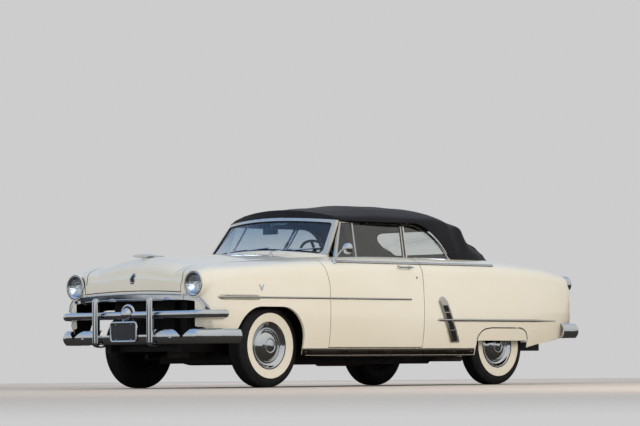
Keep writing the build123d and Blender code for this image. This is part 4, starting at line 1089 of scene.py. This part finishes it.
FRONT_CUSHION = ((-0.358, 0.500), (-0.358, 0.632), (0.160, 0.592), (0.150, 0.490))
FRONT_BACK = ((0.178, 0.500), (0.180, 0.620), (0.262, 0.925), (0.345, 0.925), (0.275, 0.500))
REAR_CUSHION = ((0.645, 0.548), (0.645, 0.692), (1.085, 0.668), (1.085, 0.548))
REAR_BACK = ((1.100, 0.560), (1.104, 0.680), (1.174, 0.944), (1.252, 0.944), (1.195, 0.560))
UP, AHEAD = (0, -0.15, 1), (0, -1, 0.25)
for name, profile, x0, x1, pleats, facing in (
        ("front_cushion", FRONT_CUSHION, -0.695, 0.695, (-0.56, 0.56, 0.056), UP),
        ("front_back_left", FRONT_BACK, 0.008, 0.695, (0.10, 0.60, 0.050), AHEAD),
        ("front_back_right", FRONT_BACK, -0.695, -0.008, (-0.60, -0.10, 0.050), AHEAD),
        ("rear_cushion", REAR_CUSHION, -0.585, 0.585, (-0.45, 0.45, 0.050), UP),
        ("rear_back", REAR_BACK, -0.585, 0.585, (-0.45, 0.45, 0.050), AHEAD)):
    block = put(cushion(name, profile, x0, x1, pleats, facing), "seat_vinyl", stands_for=name.split("_")[0] + "_seat")

RAILS = (-0.56, 0.515)
put(boxes("seat_frame", [((x, -0.300, 0.3145), (x + 0.045, 0.215, 0.345)) for x in RAILS]
          + [((x + 0.006, y, 0.340), (x + 0.039, y + 0.045, 0.505)) for x in RAILS for y in (-0.282, 0.150)]
          + [((-0.66, -0.330, 0.485), (0.66, 0.250, 0.505))], chassis_black), "cast_parts")


# ---------------------------------------------------------------- door cards, carpet
def card_lift(u, v):
    """Trimmed panel with an upper plain part, a bright strip and pleats below."""
    puff = 0.004 * min(1.0, min(u, 1 - u, v, 1 - v) / 0.03)
    if v < 0.58:
        puff -= 0.003 * max(0.0, (abs(u * 18 % 1 - 0.5) * 2 - 0.75) / 0.25)
    if abs(v - 0.60) < 0.022:
        puff += 0.004
    return 0.002 + puff


BOSS = ((0.0, 0.030), (0.010, 0.029), (0.016, 0.024), (0.017, 0.014), (0.024, 0.008), (0.025, 0.002), (0.0, 0.002))
KNOB = ((0.0, 0.026), (0.007, 0.025), (0.011, 0.018), (0.010, 0.008), (0.006, 0.0), (0.0, 0.0))
for side, tag in SIDES:
    door = surface("door_" + tag)
    put(draped("door_card_" + tag, door, pad((side * 0.30, -0.925, 0.400), (0, 1.065, 0), (0, 0, 0.600)), (108, 40),
               (side, 0, 0), card_lift, (seat_trim, stainless, card_trim),
               mark=lambda u, v: 1 if abs(v - 0.60) < 0.014 else (0 if v < 0.58 else 2)), "seat_vinyl", "door_" + tag)
    fittings = []
    for part, y, z, along, down in (("winder", -0.42, 0.72, 0.03325, -0.095), ("latch", -0.62, 0.80, 0.085, 0.0)):
        place, _ = laid(door, (side * 0.3, y, z), (side, 0, 0))
        arm = [place + Vector((-side * (0.022 + 0.012 * t), along * t, down * t)) for t in ramp(0, 1, 9)]
        fittings += [turned(part, BOSS, place, 32, chrome, -side),
                     swept(part + "_arm", arm, (-side, 0, 0),
                           [(-0.006, 0), (-0.004, 0.004), (0.004, 0.004), (0.006, 0)], chrome, scale=ramp(1.2, 0.8, 9)),
                     turned(part + "_knob", KNOB, arm[-1], 24, chrome, -side)]
    put(joined("door_fittings_" + tag, fittings), "bright_chrome", "door_" + tag)

put(draped("floor_carpet", surface("floor_pan"), pad((-0.72, -0.86, 0.90), (1.44, 0, 0), (0, 1.46, 0)), (72, 72),
           (0, 0, -1), lambda u, v: 0.006, carpet_loop), "dash_paint")
put(draped("trunk_mat", surface("trunk_floor"), pad((-0.580, 0.70, 1.0), (1.16, 0, 0), (0, 1.52, 0)), (116, 20),
           (0, 0, -1), lambda u, v: 0.0055 + 0.0012 * math.cos(2 * math.pi * 29 * u), weatherstrip), "tyre_rubber")


# ---------------------------------------------------------------- side mouldings and door trim
def moulding(name, tree, side, start, end, width, skin, deep=0.007, crown=0.0045, taper=lambda t: 1.0):
    """Bright strip between two (y, z) places on a side, laid along the surface."""
    path, normals, widths = [], [], []
    for t in ramp(0, 1, 91):
        y, z = (a + (b - a) * t for a, b in zip(start, end))
        place, normal = laid(tree, (side * 1.3, y, z), (-side, 0, 0))
        if place is not None and abs(place.x) >= 0.6:
            path.append(place)
            normals.append(normal)
            widths.append(taper(t))
    return swept(name, eased(path, 6), eased(normals, 6, Vector.normalized), crown_section(width, deep, crown), skin,
                 taper=widths)


def spear_taper(t):
    nose_end = min(1.0, t / 0.03) ** 0.5
    return max(0.08, nose_end * min(1.0, 0.05 + (1 - t) / 0.22) ** 0.7)


FOOT = ((0.0, 0.034), (0.007, 0.033), (0.011, 0.026), (0.013, 0.012), (0.014, -0.030), (0.0, -0.030))
BUTTON = ((0.0, 0.036), (0.005, 0.0355), (0.0065, 0.034), (0.0065, 0.020), (0.0, 0.020))
LOCK = ((0.0, 0.004), (0.003, 0.0042), (0.0035, 0.0055), (0.0085, 0.0048), (0.0105, 0.002), (0.0105, -0.002),
        (0.0, -0.002))
side_face = surface("side_mouldings")
for side, tag in SIDES:
    for piece in (
            moulding("fender_spear_" + tag, side_face, side, (-1.835, 0.738), (-0.993, 0.738), 0.018, stainless),
            moulding("quarter_spear_" + tag, side_face, side, (0.354, 0.563), (2.000, 0.563), 0.025, stainless,
                     crown=0.0075, taper=spear_taper),
            moulding("quarter_belt_" + tag, side_face, side, (0.191, 1.051), (1.167, 1.051), 0.029, stainless),
            # The sill plate wears the darkened stainless, a painted reflection of the shaded ground.
            moulding("sill_plate_" + tag, side_face, side, (-1.299, 0.292), (0.867, 0.292), 0.058, sill_dark_reflection_plate,
                     deep=0.008, crown=0.0015)):
        put(piece, "bright_chrome", stands_for="side_mouldings")
    door, trim = "door_" + tag, "door_trim_" + tag
    for height, ends, width in ((0.738, (-0.983, 0.016), 0.018), (1.051, (-0.860, 0.179), 0.029)):
        part = "door_spear_" if height < 1 else "door_belt_"
        put(moulding(part + tag, surface(trim), side, (ends[0], height), (ends[1], height), width, stainless),
            "bright_chrome", door)
    put(copied("door_window_frame_" + tag, trim, lambda middle, size: size.z > 0.25, stainless), "bright_chrome",
        door, trim)
    # Pull handle with its two feet, thumb button and lock
    grip = [(side * (0.9300 + 0.0240 * min(1.0, math.sin(math.pi * t) * 2.2)), -0.108 + 0.140 * t, 1.0110)
            for t in ramp(0, 1, 25)]
    spot, _ = laid(surface(door), (side * 1.3, 0.105, 0.925), (-side, 0, 0))
    handle = [swept("handle_grip", grip, (side, 0, 0), round_section(0.0075, 14, 0.0052), chrome)]
    handle += [turned("handle_foot", FOOT, (side * 0.905, y, 1.011), 32, chrome, side) for y in (-0.106, 0.030)]
    handle += [turned("handle_button", BUTTON, (side * 0.905, 0.052, 1.011), 24, chrome, side),
               turned("handle_lock", LOCK, spot, 28, chrome, side)]
    put(joined("door_handle_" + tag, handle), "bright_chrome", door)

# Driver's outside mirror: round head, silvered glass, curved arm and foot
DOME_R = 0.0478
dome = [(DOME_R * math.sin(math.radians(a)), -0.712 - DOME_R * math.cos(math.radians(a))) for a in range(0, 91, 6)]
dome += [(0.0487, -0.7085), (0.0480, -0.7048), (0.0455, -0.7040), (0.0450, -0.7058, 1), (0.0, -0.7066, 1)]
arm = [(0.868 + 0.014 * t, -0.872 + 0.118 * t ** 0.9, 1.050 + 0.104 * math.sin(math.pi / 2 * t))
       for t in ramp(0, 1, 17)]
put(joined("door_mirror", [
    turned("mirror_head", dome, (0.882, 0, 1.161), 64, (chrome, lamp_silver), axis="y"),
    swept("mirror_arm", arm, (1, 0, 0), round_section(0.0058, 14), chrome, scale=ramp(1.35, 0.90, 17)),
    turned("mirror_foot", ((0.0, 0.030), (0.009, 0.029), (0.013, 0.020), (0.021, 0.008), (0.025, 0.001),
                           (0.025, -0.012), (0.0, -0.012)), (0.866, -0.874, 1.040), 36, chrome, axis="z")]),
    "bright_chrome", "door_left")


# ---------------------------------------------------------------- brow beads and guard heels
def brow_line(drop):
    """Points along the brow, drop metres inside its top edge."""
    half = [(0.0, 0.783 - drop), (0.20, 0.7815 - drop), (0.40, 0.777 - drop), (0.60, 0.768 - drop),
            (0.665, 0.764 - drop), (0.715, 0.757 - drop), (0.760 - drop * 0.7, 0.742 - drop * 0.8),
            (0.797 - drop * 0.9, 0.712 - drop * 0.5), (0.820 - drop, 0.678), (0.832 - drop, 0.648)]
    line = [(-x, z) for x, z in reversed(half[1:])] + half
    dense = []
    for (xa, za), (xb, zb) in zip(line, line[1:]):
        steps = max(2, int(math.hypot(xb - xa, zb - za) / 0.012))
        dense += [(xa + (xb - xa) * i / steps, za + (zb - za) * i / steps) for i in range(steps)]
    return dense + [line[-1]]


def bead(name, tree, line, width, height):
    """A bright bead over every run of the line that the surface carries."""
    runs, path, normals = [], [], []
    # The last point lies beside the car and ends the last run
    for x, z in line + [(9.0, 9.0)]:
        place, normal = laid(tree, (x, -3.0, z), (0, 1, 0))
        if place is not None and place.y < -2.26 and (not path or (place - path[-1]).length < 0.03):
            path.append(place)
            normals.append(normal)
            continue
        if len(path) > 5:
            runs.append(swept(name, eased(path, 4), normals, crown_section(width, 0.003, height), chrome))
        path, normals = [], []
    return joined(name, runs)


grille_face = surface("grille")
for name, drop, width in (("brow_bead_top", 0.007, 0.013), ("brow_bead_low", 0.050, 0.010)):
    put(bead(name, grille_face, brow_line(drop), width, 0.005), "bright_chrome")
# Each guard's heel: (y, z) of its path, (y, z) of its out, and its width's share
HEEL = (((-2.497, 0.392), (-1, 0), 1), ((-2.5005, 0.372), (-1, -0.2), 1), ((-2.492, 0.3565), (-1, -1), 1),
        ((-2.470, 0.3500), (-0.3, -1), 0.97), ((-2.435, 0.3480), (0, -1), 0.92), ((-2.400, 0.3500), (0.3, -1), 0.85),
        ((-2.372, 0.3600), (1, -1), 0.74), ((-2.360, 0.3760), (1, -0.2), 0.6))
for side, tag in SIDES:
    put(swept("guard_heel_" + tag, [(side * 0.323,) + spot for spot, _, _ in HEEL], [(0,) + out for _, out, _ in HEEL],
              crown_section(0.054, 0.004, 0.009), chrome, taper=[share for _, _, share in HEEL]), "bright_chrome")


# ---------------------------------------------------------------- small pieces that repeat
def row_tree():
    """Node tree: a small domed piece at every Spacing along a path, its top along the path's out."""
    tree = bpy.data.node_groups.new("pieces_along_a_path", "GeometryNodeTree")
    for label, kind in (("Path", "Geometry"), ("Spacing", "Float"), ("Size", "Vector"), ("Sides", "Int"),
                        ("Crown", "Float"), ("Finish", "Material")):
        tree.interface.new_socket(label, in_out="INPUT", socket_type="NodeSocket" + kind)
    tree.interface.new_socket("Pieces", in_out="OUTPUT", socket_type="NodeSocketGeometry")
    given = add(tree, "NodeGroupInput").outputs
    line = add(tree, "GeometryNodeMeshToCurve", Mesh=given["Path"])
    line = add(tree, "GeometryNodeResampleCurve", {"mode": "LENGTH"}, Curve=line, Length=given["Spacing"])
    # One piece: a prism a metre across and tall, flat sides square to the path, drawn in towards its top
    piece = add(tree, "GeometryNodeMeshCone", Vertices=given["Sides"], Side_Segments=3, Radius_Top=0.5,
                Radius_Bottom=0.5, Depth=1.0)
    step = maths(tree, "DIVIDE", math.pi, given["Sides"])
    wide = maths(tree, "DIVIDE", 1.0, maths(tree, "COSINE", step))
    piece = add(tree, "GeometryNodeTransform", Geometry=piece, Rotation=add(tree, "ShaderNodeCombineXYZ", Z=step),
                Scale=add(tree, "ShaderNodeCombineXYZ", X=wide, Y=wide, Z=1.0))
    place = add(tree, "GeometryNodeInputPosition").outputs[0]
    high = maths(tree, "MULTIPLY", axes_of(tree, place)["Z"], given["Crown"])
    high = maths(tree, "SQRT", maths(tree, "SUBTRACT", 1.0, maths(tree, "MULTIPLY", high, high)))
    high = add(tree, "ShaderNodeCombineXYZ", X=high, Y=high, Z=1.0)
    place = add(tree, "ShaderNodeVectorMath", {"operation": "MULTIPLY"}, i0=place, i1=high)
    piece = add(tree, "GeometryNodeSetPosition", Geometry=piece, Position=place)
    out = add(tree, "GeometryNodeInputNamedAttribute", {"data_type": "FLOAT_VECTOR"}, Name="out")
    turn = add(tree, "FunctionNodeAlignRotationToVector", {"axis": "Z"}, Vector=out)
    turn = add(tree, "FunctionNodeAlignRotationToVector", {"axis": "X", "pivot_axis": "Z"}, Rotation=turn,
               Vector=add(tree, "GeometryNodeInputTangent"))
    made = add(tree, "GeometryNodeInstanceOnPoints", Points=line, Instance=piece, Rotation=turn, Scale=given["Size"])
    made = add(tree, "GeometryNodeRealizeInstances", Geometry=made)
    made = add(tree, "GeometryNodeSetMaterial", Geometry=made, Material=given["Finish"])
    add(tree, "NodeGroupOutput", Pieces=made)
    return tree


ROW_TREE = row_tree()
ROW_SOCKET = {item.name: item.identifier for item in ROW_TREE.interface.items_tree}


def row(name, path_and_outs, spacing, size, skin, body="root", slot="bright_chrome", sides=12, crown=0.85, ring=False):
    """Pieces of a size (along, across, out) at a spacing along a path, as one plain mesh."""
    path, outs = path_and_outs
    count = len(path)
    data = bpy.data.meshes.new(name)
    data.from_pydata([tuple(p) for p in path], [(i, (i + 1) % count) for i in range(count if ring else count - 1)], [])
    outs = [c for out in outs for c in Vector(out).normalized()]
    data.attributes.new("out", "FLOAT_VECTOR", "POINT").data.foreach_set("vector", outs)
    made = bpy.data.objects.new(name, data)
    bpy.context.collection.objects.link(made)
    grow = made.modifiers.new("row", "NODES")
    grow.node_group = ROW_TREE
    for label, value in (("Spacing", spacing), ("Size", size), ("Sides", sides), ("Crown", crown), ("Finish", skin)):
        grow[ROW_SOCKET[label]] = value
    built = applied(made)
    built.shade_smooth()
    built.set_sharp_from_angle(angle=math.radians(40))
    return put(made, slot, body)


def line(start, end, out, count=2):
    """A straight path and its outs, for row()."""
    return [Vector(start).lerp(Vector(end), t) for t in ramp(0, 1, count)], [out] * count


def circle(centre, radius, out, steps=64, lean=(0, 0, 1)):
    """A ring path round a centre in the plane across out; its outs point along out."""
    out = Vector(out).normalized()
    first = Vector(lean).cross(out).normalized()
    second = out.cross(first)
    angles = [2 * math.pi * i / steps for i in range(steps)]
    return [Vector(centre) + radius * (first * math.cos(a) + second * math.sin(a)) for a in angles], [out] * steps


def on_cloth(path, lift=0.0012):
    """Moves points out to the cloth's face; gives them and its outward normals."""
    places, outs = [], []
    for spot in path:
        place, normal, _, _ = cloth_tree.find_nearest(spot)
        normal = normal if normal.dot(place - Vector((0, 0.3, 1.0))) > 0 else -normal
        places.append(place + normal * (fine_lift(place) + CLOTH_LIFT + lift))
        outs.append(normal)
    return places, outs


def stitches(name, path_and_outs, ring=False):
    """A sewn row of 6 mm stitches in thick thread, drawn twice as coarse as they are."""
    row(name, path_and_outs, 0.012, (0.0075, 0.0022, 0.0014), top_thread, slot="top_cloth", sides=6, ring=ring)


for (side, tag), column in zip(SIDES, (-4, 3)):
    stitches("top_stitches_" + tag, on_cloth([r[column] for r in grid[4:]]))
    seam = side * SEAM_X
    nearest = [min(r, key=lambda p: abs(p.x - seam)) for r in grid[6:70]]
    stitches("top_seam_stitches_" + tag, on_cloth([Vector((seam, p.y, p.z)) for p in nearest]))
path, outs = traced(cloth_tree, [(x * 1.055, 2.0, 1.2735 + (z - 1.2735) * 1.17) for x, _, z in back_light_ring(1.7)],
                    (0, -1, 0))
stitches("back_light_stitches", ([p + out * 0.0015 for p, out in zip(path, outs)], outs), ring=True)
# Turned studs that hold the rear hem down on the deck
row("top_studs", on_cloth([p.lerp(q, 0.9) for p, q in zip(grid[-3], grid[-2])][6:-6], 0.0008), 0.118,
    (0.013, 0.013, 0.0055), stainless)


# ---------------------------------------------------------------- seams, bolts and fins
def curve(first, handle, last):
    """Eleven (y, z) points of a curve from first to last that leans to its handle."""
    return [tuple(a * (1 - t) ** 2 + b * 2 * t * (1 - t) + c * t * t for a, b, c in zip(first, handle, last))
            for t in ramp(0, 1, 11)]


SKIRT_SEAM = [(0.893, 0.392), (0.898, 0.407)] + curve((0.898, 0.405), (0.938, 0.498), (1.083, 0.498))
SKIRT_SEAM += [(1.083 + 0.357 * i / 8, 0.498) for i in range(1, 8)]
SKIRT_SEAM += curve((1.440, 0.498), (1.582, 0.498), (1.600, 0.397))
body_side = surface("quarter_left", "quarter_right", "fender_skirts")
for side, tag in SIDES:
    path, outs = traced(body_side, [(side * 1.3, y, z) for y, z in SKIRT_SEAM], (-side, 0, 0),
                        lambda place: abs(place.x) > 0.86)
    put(swept("skirt_seam_" + tag, path, outs, bow_section(0.010, 0.0022, 6), weatherstrip), "tyre_rubber")
    path, outs = traced(side_face, [(side * 1.3, y, 0.290) for y in (-1.26, 0.83)], (-side, 0, 0))
    row("sill_screws_" + tag, ([p + Vector((side * 0.0012, 0, 0)) for p in path], outs), 0.232,
        (0.011, 0.011, 0.0032), stainless)

bumper = surface("front_bumper", "rear_bumper")
for name, heading, reach, z in (("front", 1, 0.52, 0.410), ("rear", -1, 0.62, 0.492)):
    row("bumper_bolts_" + name, traced(bumper, [(x, -3.0 * heading, z) for x in (-reach, reach)], (0, heading, 0)),
        2 * reach, (0.026, 0.026, 0.009), chrome, sides=20)

# Radiator: fins 12 mm apart on upright tubes 18 mm apart, both coarser than real so that they show
FORWARD = (0, -1, 0)
row("radiator_tubes", line((-0.318, -2.2125, 0.640), (0.318, -2.2125, 0.640), FORWARD), 0.018,
    (0.0045, 0.43, 0.006), fin_metal, slot="cast_parts", sides=4, crown=0.5)
row("radiator_fins", line((0.0, -2.2125, 0.430), (0.0, -2.2125, 0.850), FORWARD), 0.012,
    (0.0025, 0.636, 0.003), fin_metal, slot="cast_parts", sides=4, crown=0.3)


# ---------------------------------------------------------------- engine and its fittings
motor = [boxes("crankcase", [((-0.165, -1.905, 0.400), (0.165, -1.235, 0.600)),
                             ((-0.105, -1.780, 0.590), (0.105, -1.330, 0.735))], engine_paint),
         boxes("oil_pan", [((-0.165, -1.905, 0.310), (0.165, -1.235, 0.405)),
                           ((-0.130, -1.860, 0.252), (0.130, -1.500, 0.320)),
                           ((-0.120, -1.240, 0.300), (0.120, -1.015, 0.560))], cast_iron)]
BANK = [(-0.095, -0.13), (-0.095, 0.095), (-0.085, 0.105), (0.085, 0.105), (0.095, 0.095), (0.095, -0.13)]
for side, tag in SIDES:
    tilt, across = Vector((side * 0.7071, 0, 0.7071)), Vector((side * -0.7071, 0, 0.7071))

    def on_bank(ys, shift=Vector((0, 0, 0))):
        return [Vector((side * 0.150, y, 0.630)) + shift for y in ys]

    motor.append(swept("bank", on_bank((-1.885, -1.600, -1.250)), tuple(tilt), BANK, engine_paint))
    motor.append(swept("cover", on_bank((-1.870, -1.860, -1.600, -1.275, -1.265), tilt * 0.105), tuple(tilt),
                       bow_section(0.140, 0.058, 12), engine_paint, scale=[0.86, 1, 1, 1, 0.86]))
    for part, shift in (("low", -0.078), ("high", 0.078)):
        row("cover_bolts_%s_%s" % (tag, part), (on_bank((-1.845, -1.285), tilt * 0.104 + across * shift), [tilt] * 2),
            0.112, (0.013, 0.013, 0.010), stainless, sides=6, crown=0.4)
    pipe = [(side * (0.262 + 0.010 * math.sin(i)), -1.86 + 0.06 * i, 0.560 - 0.004 * i) for i in range(11)]
    motor.append(swept("manifold", pipe, (side, 0, 0), round_section(0.032, 14), cast_iron))
put(joined("engine_castings", motor), "cast_parts", stands_for="engine_block")

CLEANER = ((0.0, 0.118), (0.012, 0.118), (0.016, 0.112), (0.018, 0.104), (0.090, 0.098), (0.140, 0.088),
           (0.160, 0.074), (0.166, 0.060), (0.160, 0.054), (0.120, 0.050), (0.112, 0.040), (0.112, 0.012),
           (0.060, 0.002), (0.048, -0.040), (0.048, -0.110), (0.0, -0.110))
FAN_HUB = ((0.0, 0.050), (0.030, 0.050), (0.045, 0.040), (0.085, 0.036), (0.088, 0.026), (0.074, 0.018),
           (0.088, 0.010), (0.088, -0.004), (0.030, -0.010), (0.028, -0.120), (0.0, -0.120))
put(turned("air_cleaner", CLEANER, (0.0, -1.555, 0.842), 72, cleaner_paint, axis="z"), "cast_parts")
fan = [turned("fan_hub", FAN_HUB, (0, -2.020, 0.610), 48, cleaner_paint, -1, axis="y")]
for blade in range(4):
    angle = math.radians(20 + 90 * blade)
    reach = Vector((math.cos(angle), 0, math.sin(angle)))
    lean = (Vector((0, -1, 0)) + reach.cross(Vector((0, 1, 0))) * 0.55).normalized()
    fan.append(swept("blade", [Vector((0, -2.066, 0.610)) + reach * r for r in ramp(0.035, 0.200, 7)], tuple(lean),
                     [(-0.034, -0.001), (-0.034, 0.001), (0.034, 0.001), (0.034, -0.001)], cleaner_paint,
                     taper=[0.5, 0.7, 0.9, 1.0, 1.05, 1.05, 0.9]))
put(joined("cooling_fan", fan), "cast_parts")
HOSE = ((0.10, -2.148, 0.820), (0.10, -2.090, 0.822), (0.095, -2.030, 0.815), (0.080, -1.975, 0.790),
        (0.070, -1.930, 0.750), (0.065, -1.900, 0.710))
put(swept("radiator_hose", HOSE, (1, 0, 0), round_section(0.023, 16), hose_rubber), "tyre_rubber")
FILLER = ((0.0, 0.016), (0.016, 0.016), (0.020, 0.013), (0.034, 0.011), (0.036, 0.004), (0.034, 0.0),
          (0.026, -0.001), (0.026, -0.012), (0.0, -0.012))
put(turned("radiator_cap", FILLER, (0.215, -2.182, 0.871), 40, stainless, axis="z"), "bright_chrome")


# ---------------------------------------------------------------- cabin fittings
# Interior mirror on its stem from the windscreen header
mirror_y = laid(glass_face, (0.015, -3.0, 1.335), (0, 1, 0))[0].y + 0.034
stem = [(0.015, mirror_y + y, z) for y, z in ((0.010, 1.345), (0.022, 1.372), (0.045, 1.400), (0.070, 1.418))]
put(joined("cabin_mirror", [
    boxes("shell", [((-0.068, mirror_y - 0.004, 1.304), (0.098, mirror_y + 0.012, 1.362))], black_plastic),
    boxes("pane", [((-0.062, mirror_y + 0.0115, 1.310), (0.092, mirror_y + 0.0135, 1.356))], lamp_silver),
    swept("stem", stem, (1, 0, 0), round_section(0.0045), chrome)]), "bright_chrome")

# Instrument cluster, radio slats, knobs and glove box line on the dash's face
BACK = (0, 1, 0)
DIAL = (0.37, 0.0, 1.012)
dash_y = laid(surface("dashboard"), (0.37, 0.5, 1.012), (0, -1, 0))[0].y
bezel = [(r, dash_y + y) for r, y in ((0.046, 0.002), (0.049, 0.012), (0.055, 0.016), (0.060, 0.011),
                                      (0.062, -0.001), (0.046, -0.001))]
dial = [(r, dash_y + y) for r, y in ((0.0, 0.0035), (0.046, 0.0025), (0.047, -0.001), (0.0, -0.001))]
needle, _ = line((0.37, dash_y + 0.0062, 1.012), (0.346, dash_y + 0.0062, 1.040), BACK, 5)
glove = loop_cut([(x, dash_y, z) for x, z in ((-0.52, 0.958), (-0.20, 0.958), (-0.20, 1.064), (-0.52, 1.064))], 3)
put(joined("dash_instruments", [
    turned("dial_bezel", bezel, DIAL, 72, chrome, axis="y", closed=True),
    turned("dial_face", dial, DIAL, 64, cleaner_paint, axis="y"),
    swept("needle", needle, BACK, [(-0.0016, -0.0022), (-0.0008, 0.0006), (0.0008, 0.0006), (0.0016, -0.0022)],
          ruby_lens, scale=[1.3, 1.1, 0.9, 0.7, 0.5]),
    swept("glove_box_line", glove, BACK, bow_section(0.005, 0.002, 6), chrome, ring=True)]), "bright_chrome")
row("dial_marks", circle((0.37, dash_y + 0.0030, 1.012), 0.039, BACK), 0.0102, (0.0016, 0.006, 0.0010), stainless,
    sides=4, ring=True)
row("radio_slats", line((-0.085, dash_y, 1.020), (0.085, dash_y, 1.020), BACK), 0.0106, (0.0046, 0.062, 0.007),
    chrome, sides=4, crown=0.8)
row("dash_knobs", line((0.130, dash_y, 0.985), (0.245, dash_y, 0.985), BACK), 0.0575, (0.022, 0.022, 0.024),
    black_plastic, slot="dash_paint", sides=20, crown=0.6)

# Finger grips under the steering wheel's rim, and the horn ring
WHEEL = Vector((0.370, -0.516, 1.053))
column = Vector((0, math.cos(math.radians(28)), math.sin(math.radians(28))))
row("wheel_grips", circle(WHEEL - column * 0.010, 0.2150, -column, 96, (1, 0, 0)), 0.0161, (0.0085, 0.013, 0.0040),
    black_plastic, body="steering", slot="wheel_plastic", sides=8, crown=0.9, ring=True)
put(swept("horn_ring", *circle(WHEEL + column * 0.020, 0.120, column, 72, (1, 0, 0)), round_section(0.0042), chrome,
          ring=True), "bright_chrome", "steering")

# Painted fillets between the cowl and the doors' front corners, beside the screen posts
FILLET = ((0.6985, 1.0846), (0.7180, 1.0836), (0.7375, 1.0805))
for side, tag in SIDES:
    verts = []
    for y in ramp(-1.0485, -0.7950, 26):
        top = [(side * x, y, z + (y + 1.04) * 0.0455) for x, z in FILLET]
        verts += top + [(x, y, z - 0.012) for x, y, z in reversed(top)]
    caps = [list(range(6)), [150 + i for i in range(6)]]
    put(meshed("cowl_fillet_" + tag, verts, quads(26, 6) + caps, enamel), "ivory_paint")


# ---------------------------------------------------------------- studio
def studio_floor():
    """Plain pale floor; from 7 m out it fades into the pale backdrop."""
    made, tree = finish("studio_floor_paint")
    away = add(tree, "ShaderNodeVectorMath", {"operation": "LENGTH"}, i0=spot_of(tree)).outputs["Value"]
    body = add(tree, "ShaderNodeBsdfPrincipled", Base_Color=srgb("#D2C5B8"), Roughness=0.75, IOR=1.45)
    # Bright metal mirrors a darker ground than the pale one that the camera sees
    ground = add(tree, "ShaderNodeMixShader", i0=add(tree, "ShaderNodeLightPath").outputs["Is Glossy Ray"], i1=body,
                 i2=add(tree, "ShaderNodeBsdfDiffuse", Color=srgb("#4A453F")))
    seen = add(tree, "ShaderNodeMixShader", i0=ranged(tree, away, 7.0, 20.0), i1=ground,
               i2=add(tree, "ShaderNodeBsdfTransparent"))
    add(tree, "ShaderNodeOutputMaterial", Surface=seen)
    rim = [(30 * math.cos(i * math.pi / 48), 30 * math.sin(i * math.pi / 48), -0.0005) for i in range(96)]
    meshed("floor", rim, [list(range(96))], made, outward=False)


def dark_horizon():
    """Dark cloths of uneven height round the studio that only glossy surfaces mirror."""
    made, tree = finish("horizon_cloth_dark")
    shaded(tree, Roughness=0.9, Base_Color=srgb("#3A3F47"))
    verts = []
    for i in range(96):
        a = i * math.pi / 48
        tall = max(0.55 + 0.35 * math.sin(5 * a + 0.6) + 0.2 * math.sin(13 * a), 0.1)
        verts += [(11 * math.cos(a), 11 * math.sin(a), z) for z in (0.0, tall)]
    band = meshed("horizon_band", verts, quads(96, 2, ring=True, around=False), made, outward=False)
    for ray in ("camera", "diffuse", "transmission", "volume_scatter", "shadow"):
        setattr(band, "visible_" + ray, False)


def sky():
    """A soft pale room: haze over the driver's side, blue over the other."""
    world = bpy.data.worlds.new("pale_room")
    bpy.context.scene.world = world
    world.use_nodes = True
    tree = world.node_tree
    tree.nodes.clear()
    view = axes_of(tree, add(tree, "ShaderNodeTexCoord").outputs["Generated"])
    light = mixed(tree, ranged(tree, view["Z"], -0.1, 0.9), "#E2E1DE", "#DCE6F2")
    haze = mixed(tree, ranged(tree, view["Z"], 0.16, 0.6), "#CDCDCD", "#DEDDD8")
    blue = maths(tree, "MULTIPLY", ranged(tree, view["Z"], 0.2, 0.6), ranged(tree, view["X"], 0.35, -0.35))
    ray = add(tree, "ShaderNodeLightPath").outputs
    seen = maths(tree, "MAXIMUM", ray["Is Camera Ray"], ray["Is Glossy Ray"])
    seen = maths(tree, "MAXIMUM", seen, ray["Is Transmission Ray"])
    lit = add(tree, "ShaderNodeBackground", Color=light, Strength=0.62)
    backdrop = add(tree, "ShaderNodeBackground", Color=mixed(tree, blue, haze, "#9BB8E2"), Strength=1.0)
    add(tree, "ShaderNodeOutputWorld", Surface=add(tree, "ShaderNodeMixShader", i0=seen, i1=lit, i2=backdrop))


def lamps():
    """Four soft lamps, warm from the driver's side and cool from the front and above."""
    for name, place, size, watts, colour in (
            ("key_side", (11.0, -1.0, 4.2), (8.0, 4.0), 640, "#FFF7EC"),
            ("fill_front", (-1.0, -11.0, 4.0), (6.0, 4.0), 230, "#E6EFFF"),
            ("fill_back", (-8.0, 8.0, 5.0), (6.0, 4.0), 260, "#F4F4FF"),
            ("top_soft", (0.0, 0.0, 9.0), (7.0, 7.0), 120, "#F4F8FF")):
        lamp = bpy.data.lights.new(name, "AREA")
        lamp.shape = "RECTANGLE"
        lamp.size, lamp.size_y = size
        lamp.energy = watts
        lamp.color = srgb(colour)[:3]
        holder = bpy.data.objects.new(name, lamp)
        holder.visible_glossy = False
        holder.location = place
        holder.rotation_euler = (Vector((0, 0, 0.7)) - Vector(place)).to_track_quat("-Z", "Y").to_euler()
        bpy.context.collection.objects.link(holder)


def photo_camera():
    """The photograph's own angle: a long lens at floor level off the front left corner."""
    lens = bpy.data.cameras.new("camera")
    lens.sensor_width = 36
    lens.lens = 190.58
    lens.clip_end = 400
    camera = bpy.data.objects.new("camera", lens)
    camera.location = (20.229, -21.602, 0.133)
    turn = Matrix.Rotation(math.radians(43.27), 4, "Z") @ Matrix.Rotation(math.radians(92.67), 4, "X")
    camera.rotation_euler = (turn @ Matrix.Rotation(math.radians(-0.51), 4, "Z")).to_euler()
    bpy.context.collection.objects.link(camera)
    bpy.context.scene.camera = camera


studio_floor()
dark_horizon()
sky()
lamps()
photo_camera()
bpy.context.scene.view_settings.view_transform = "Standard"
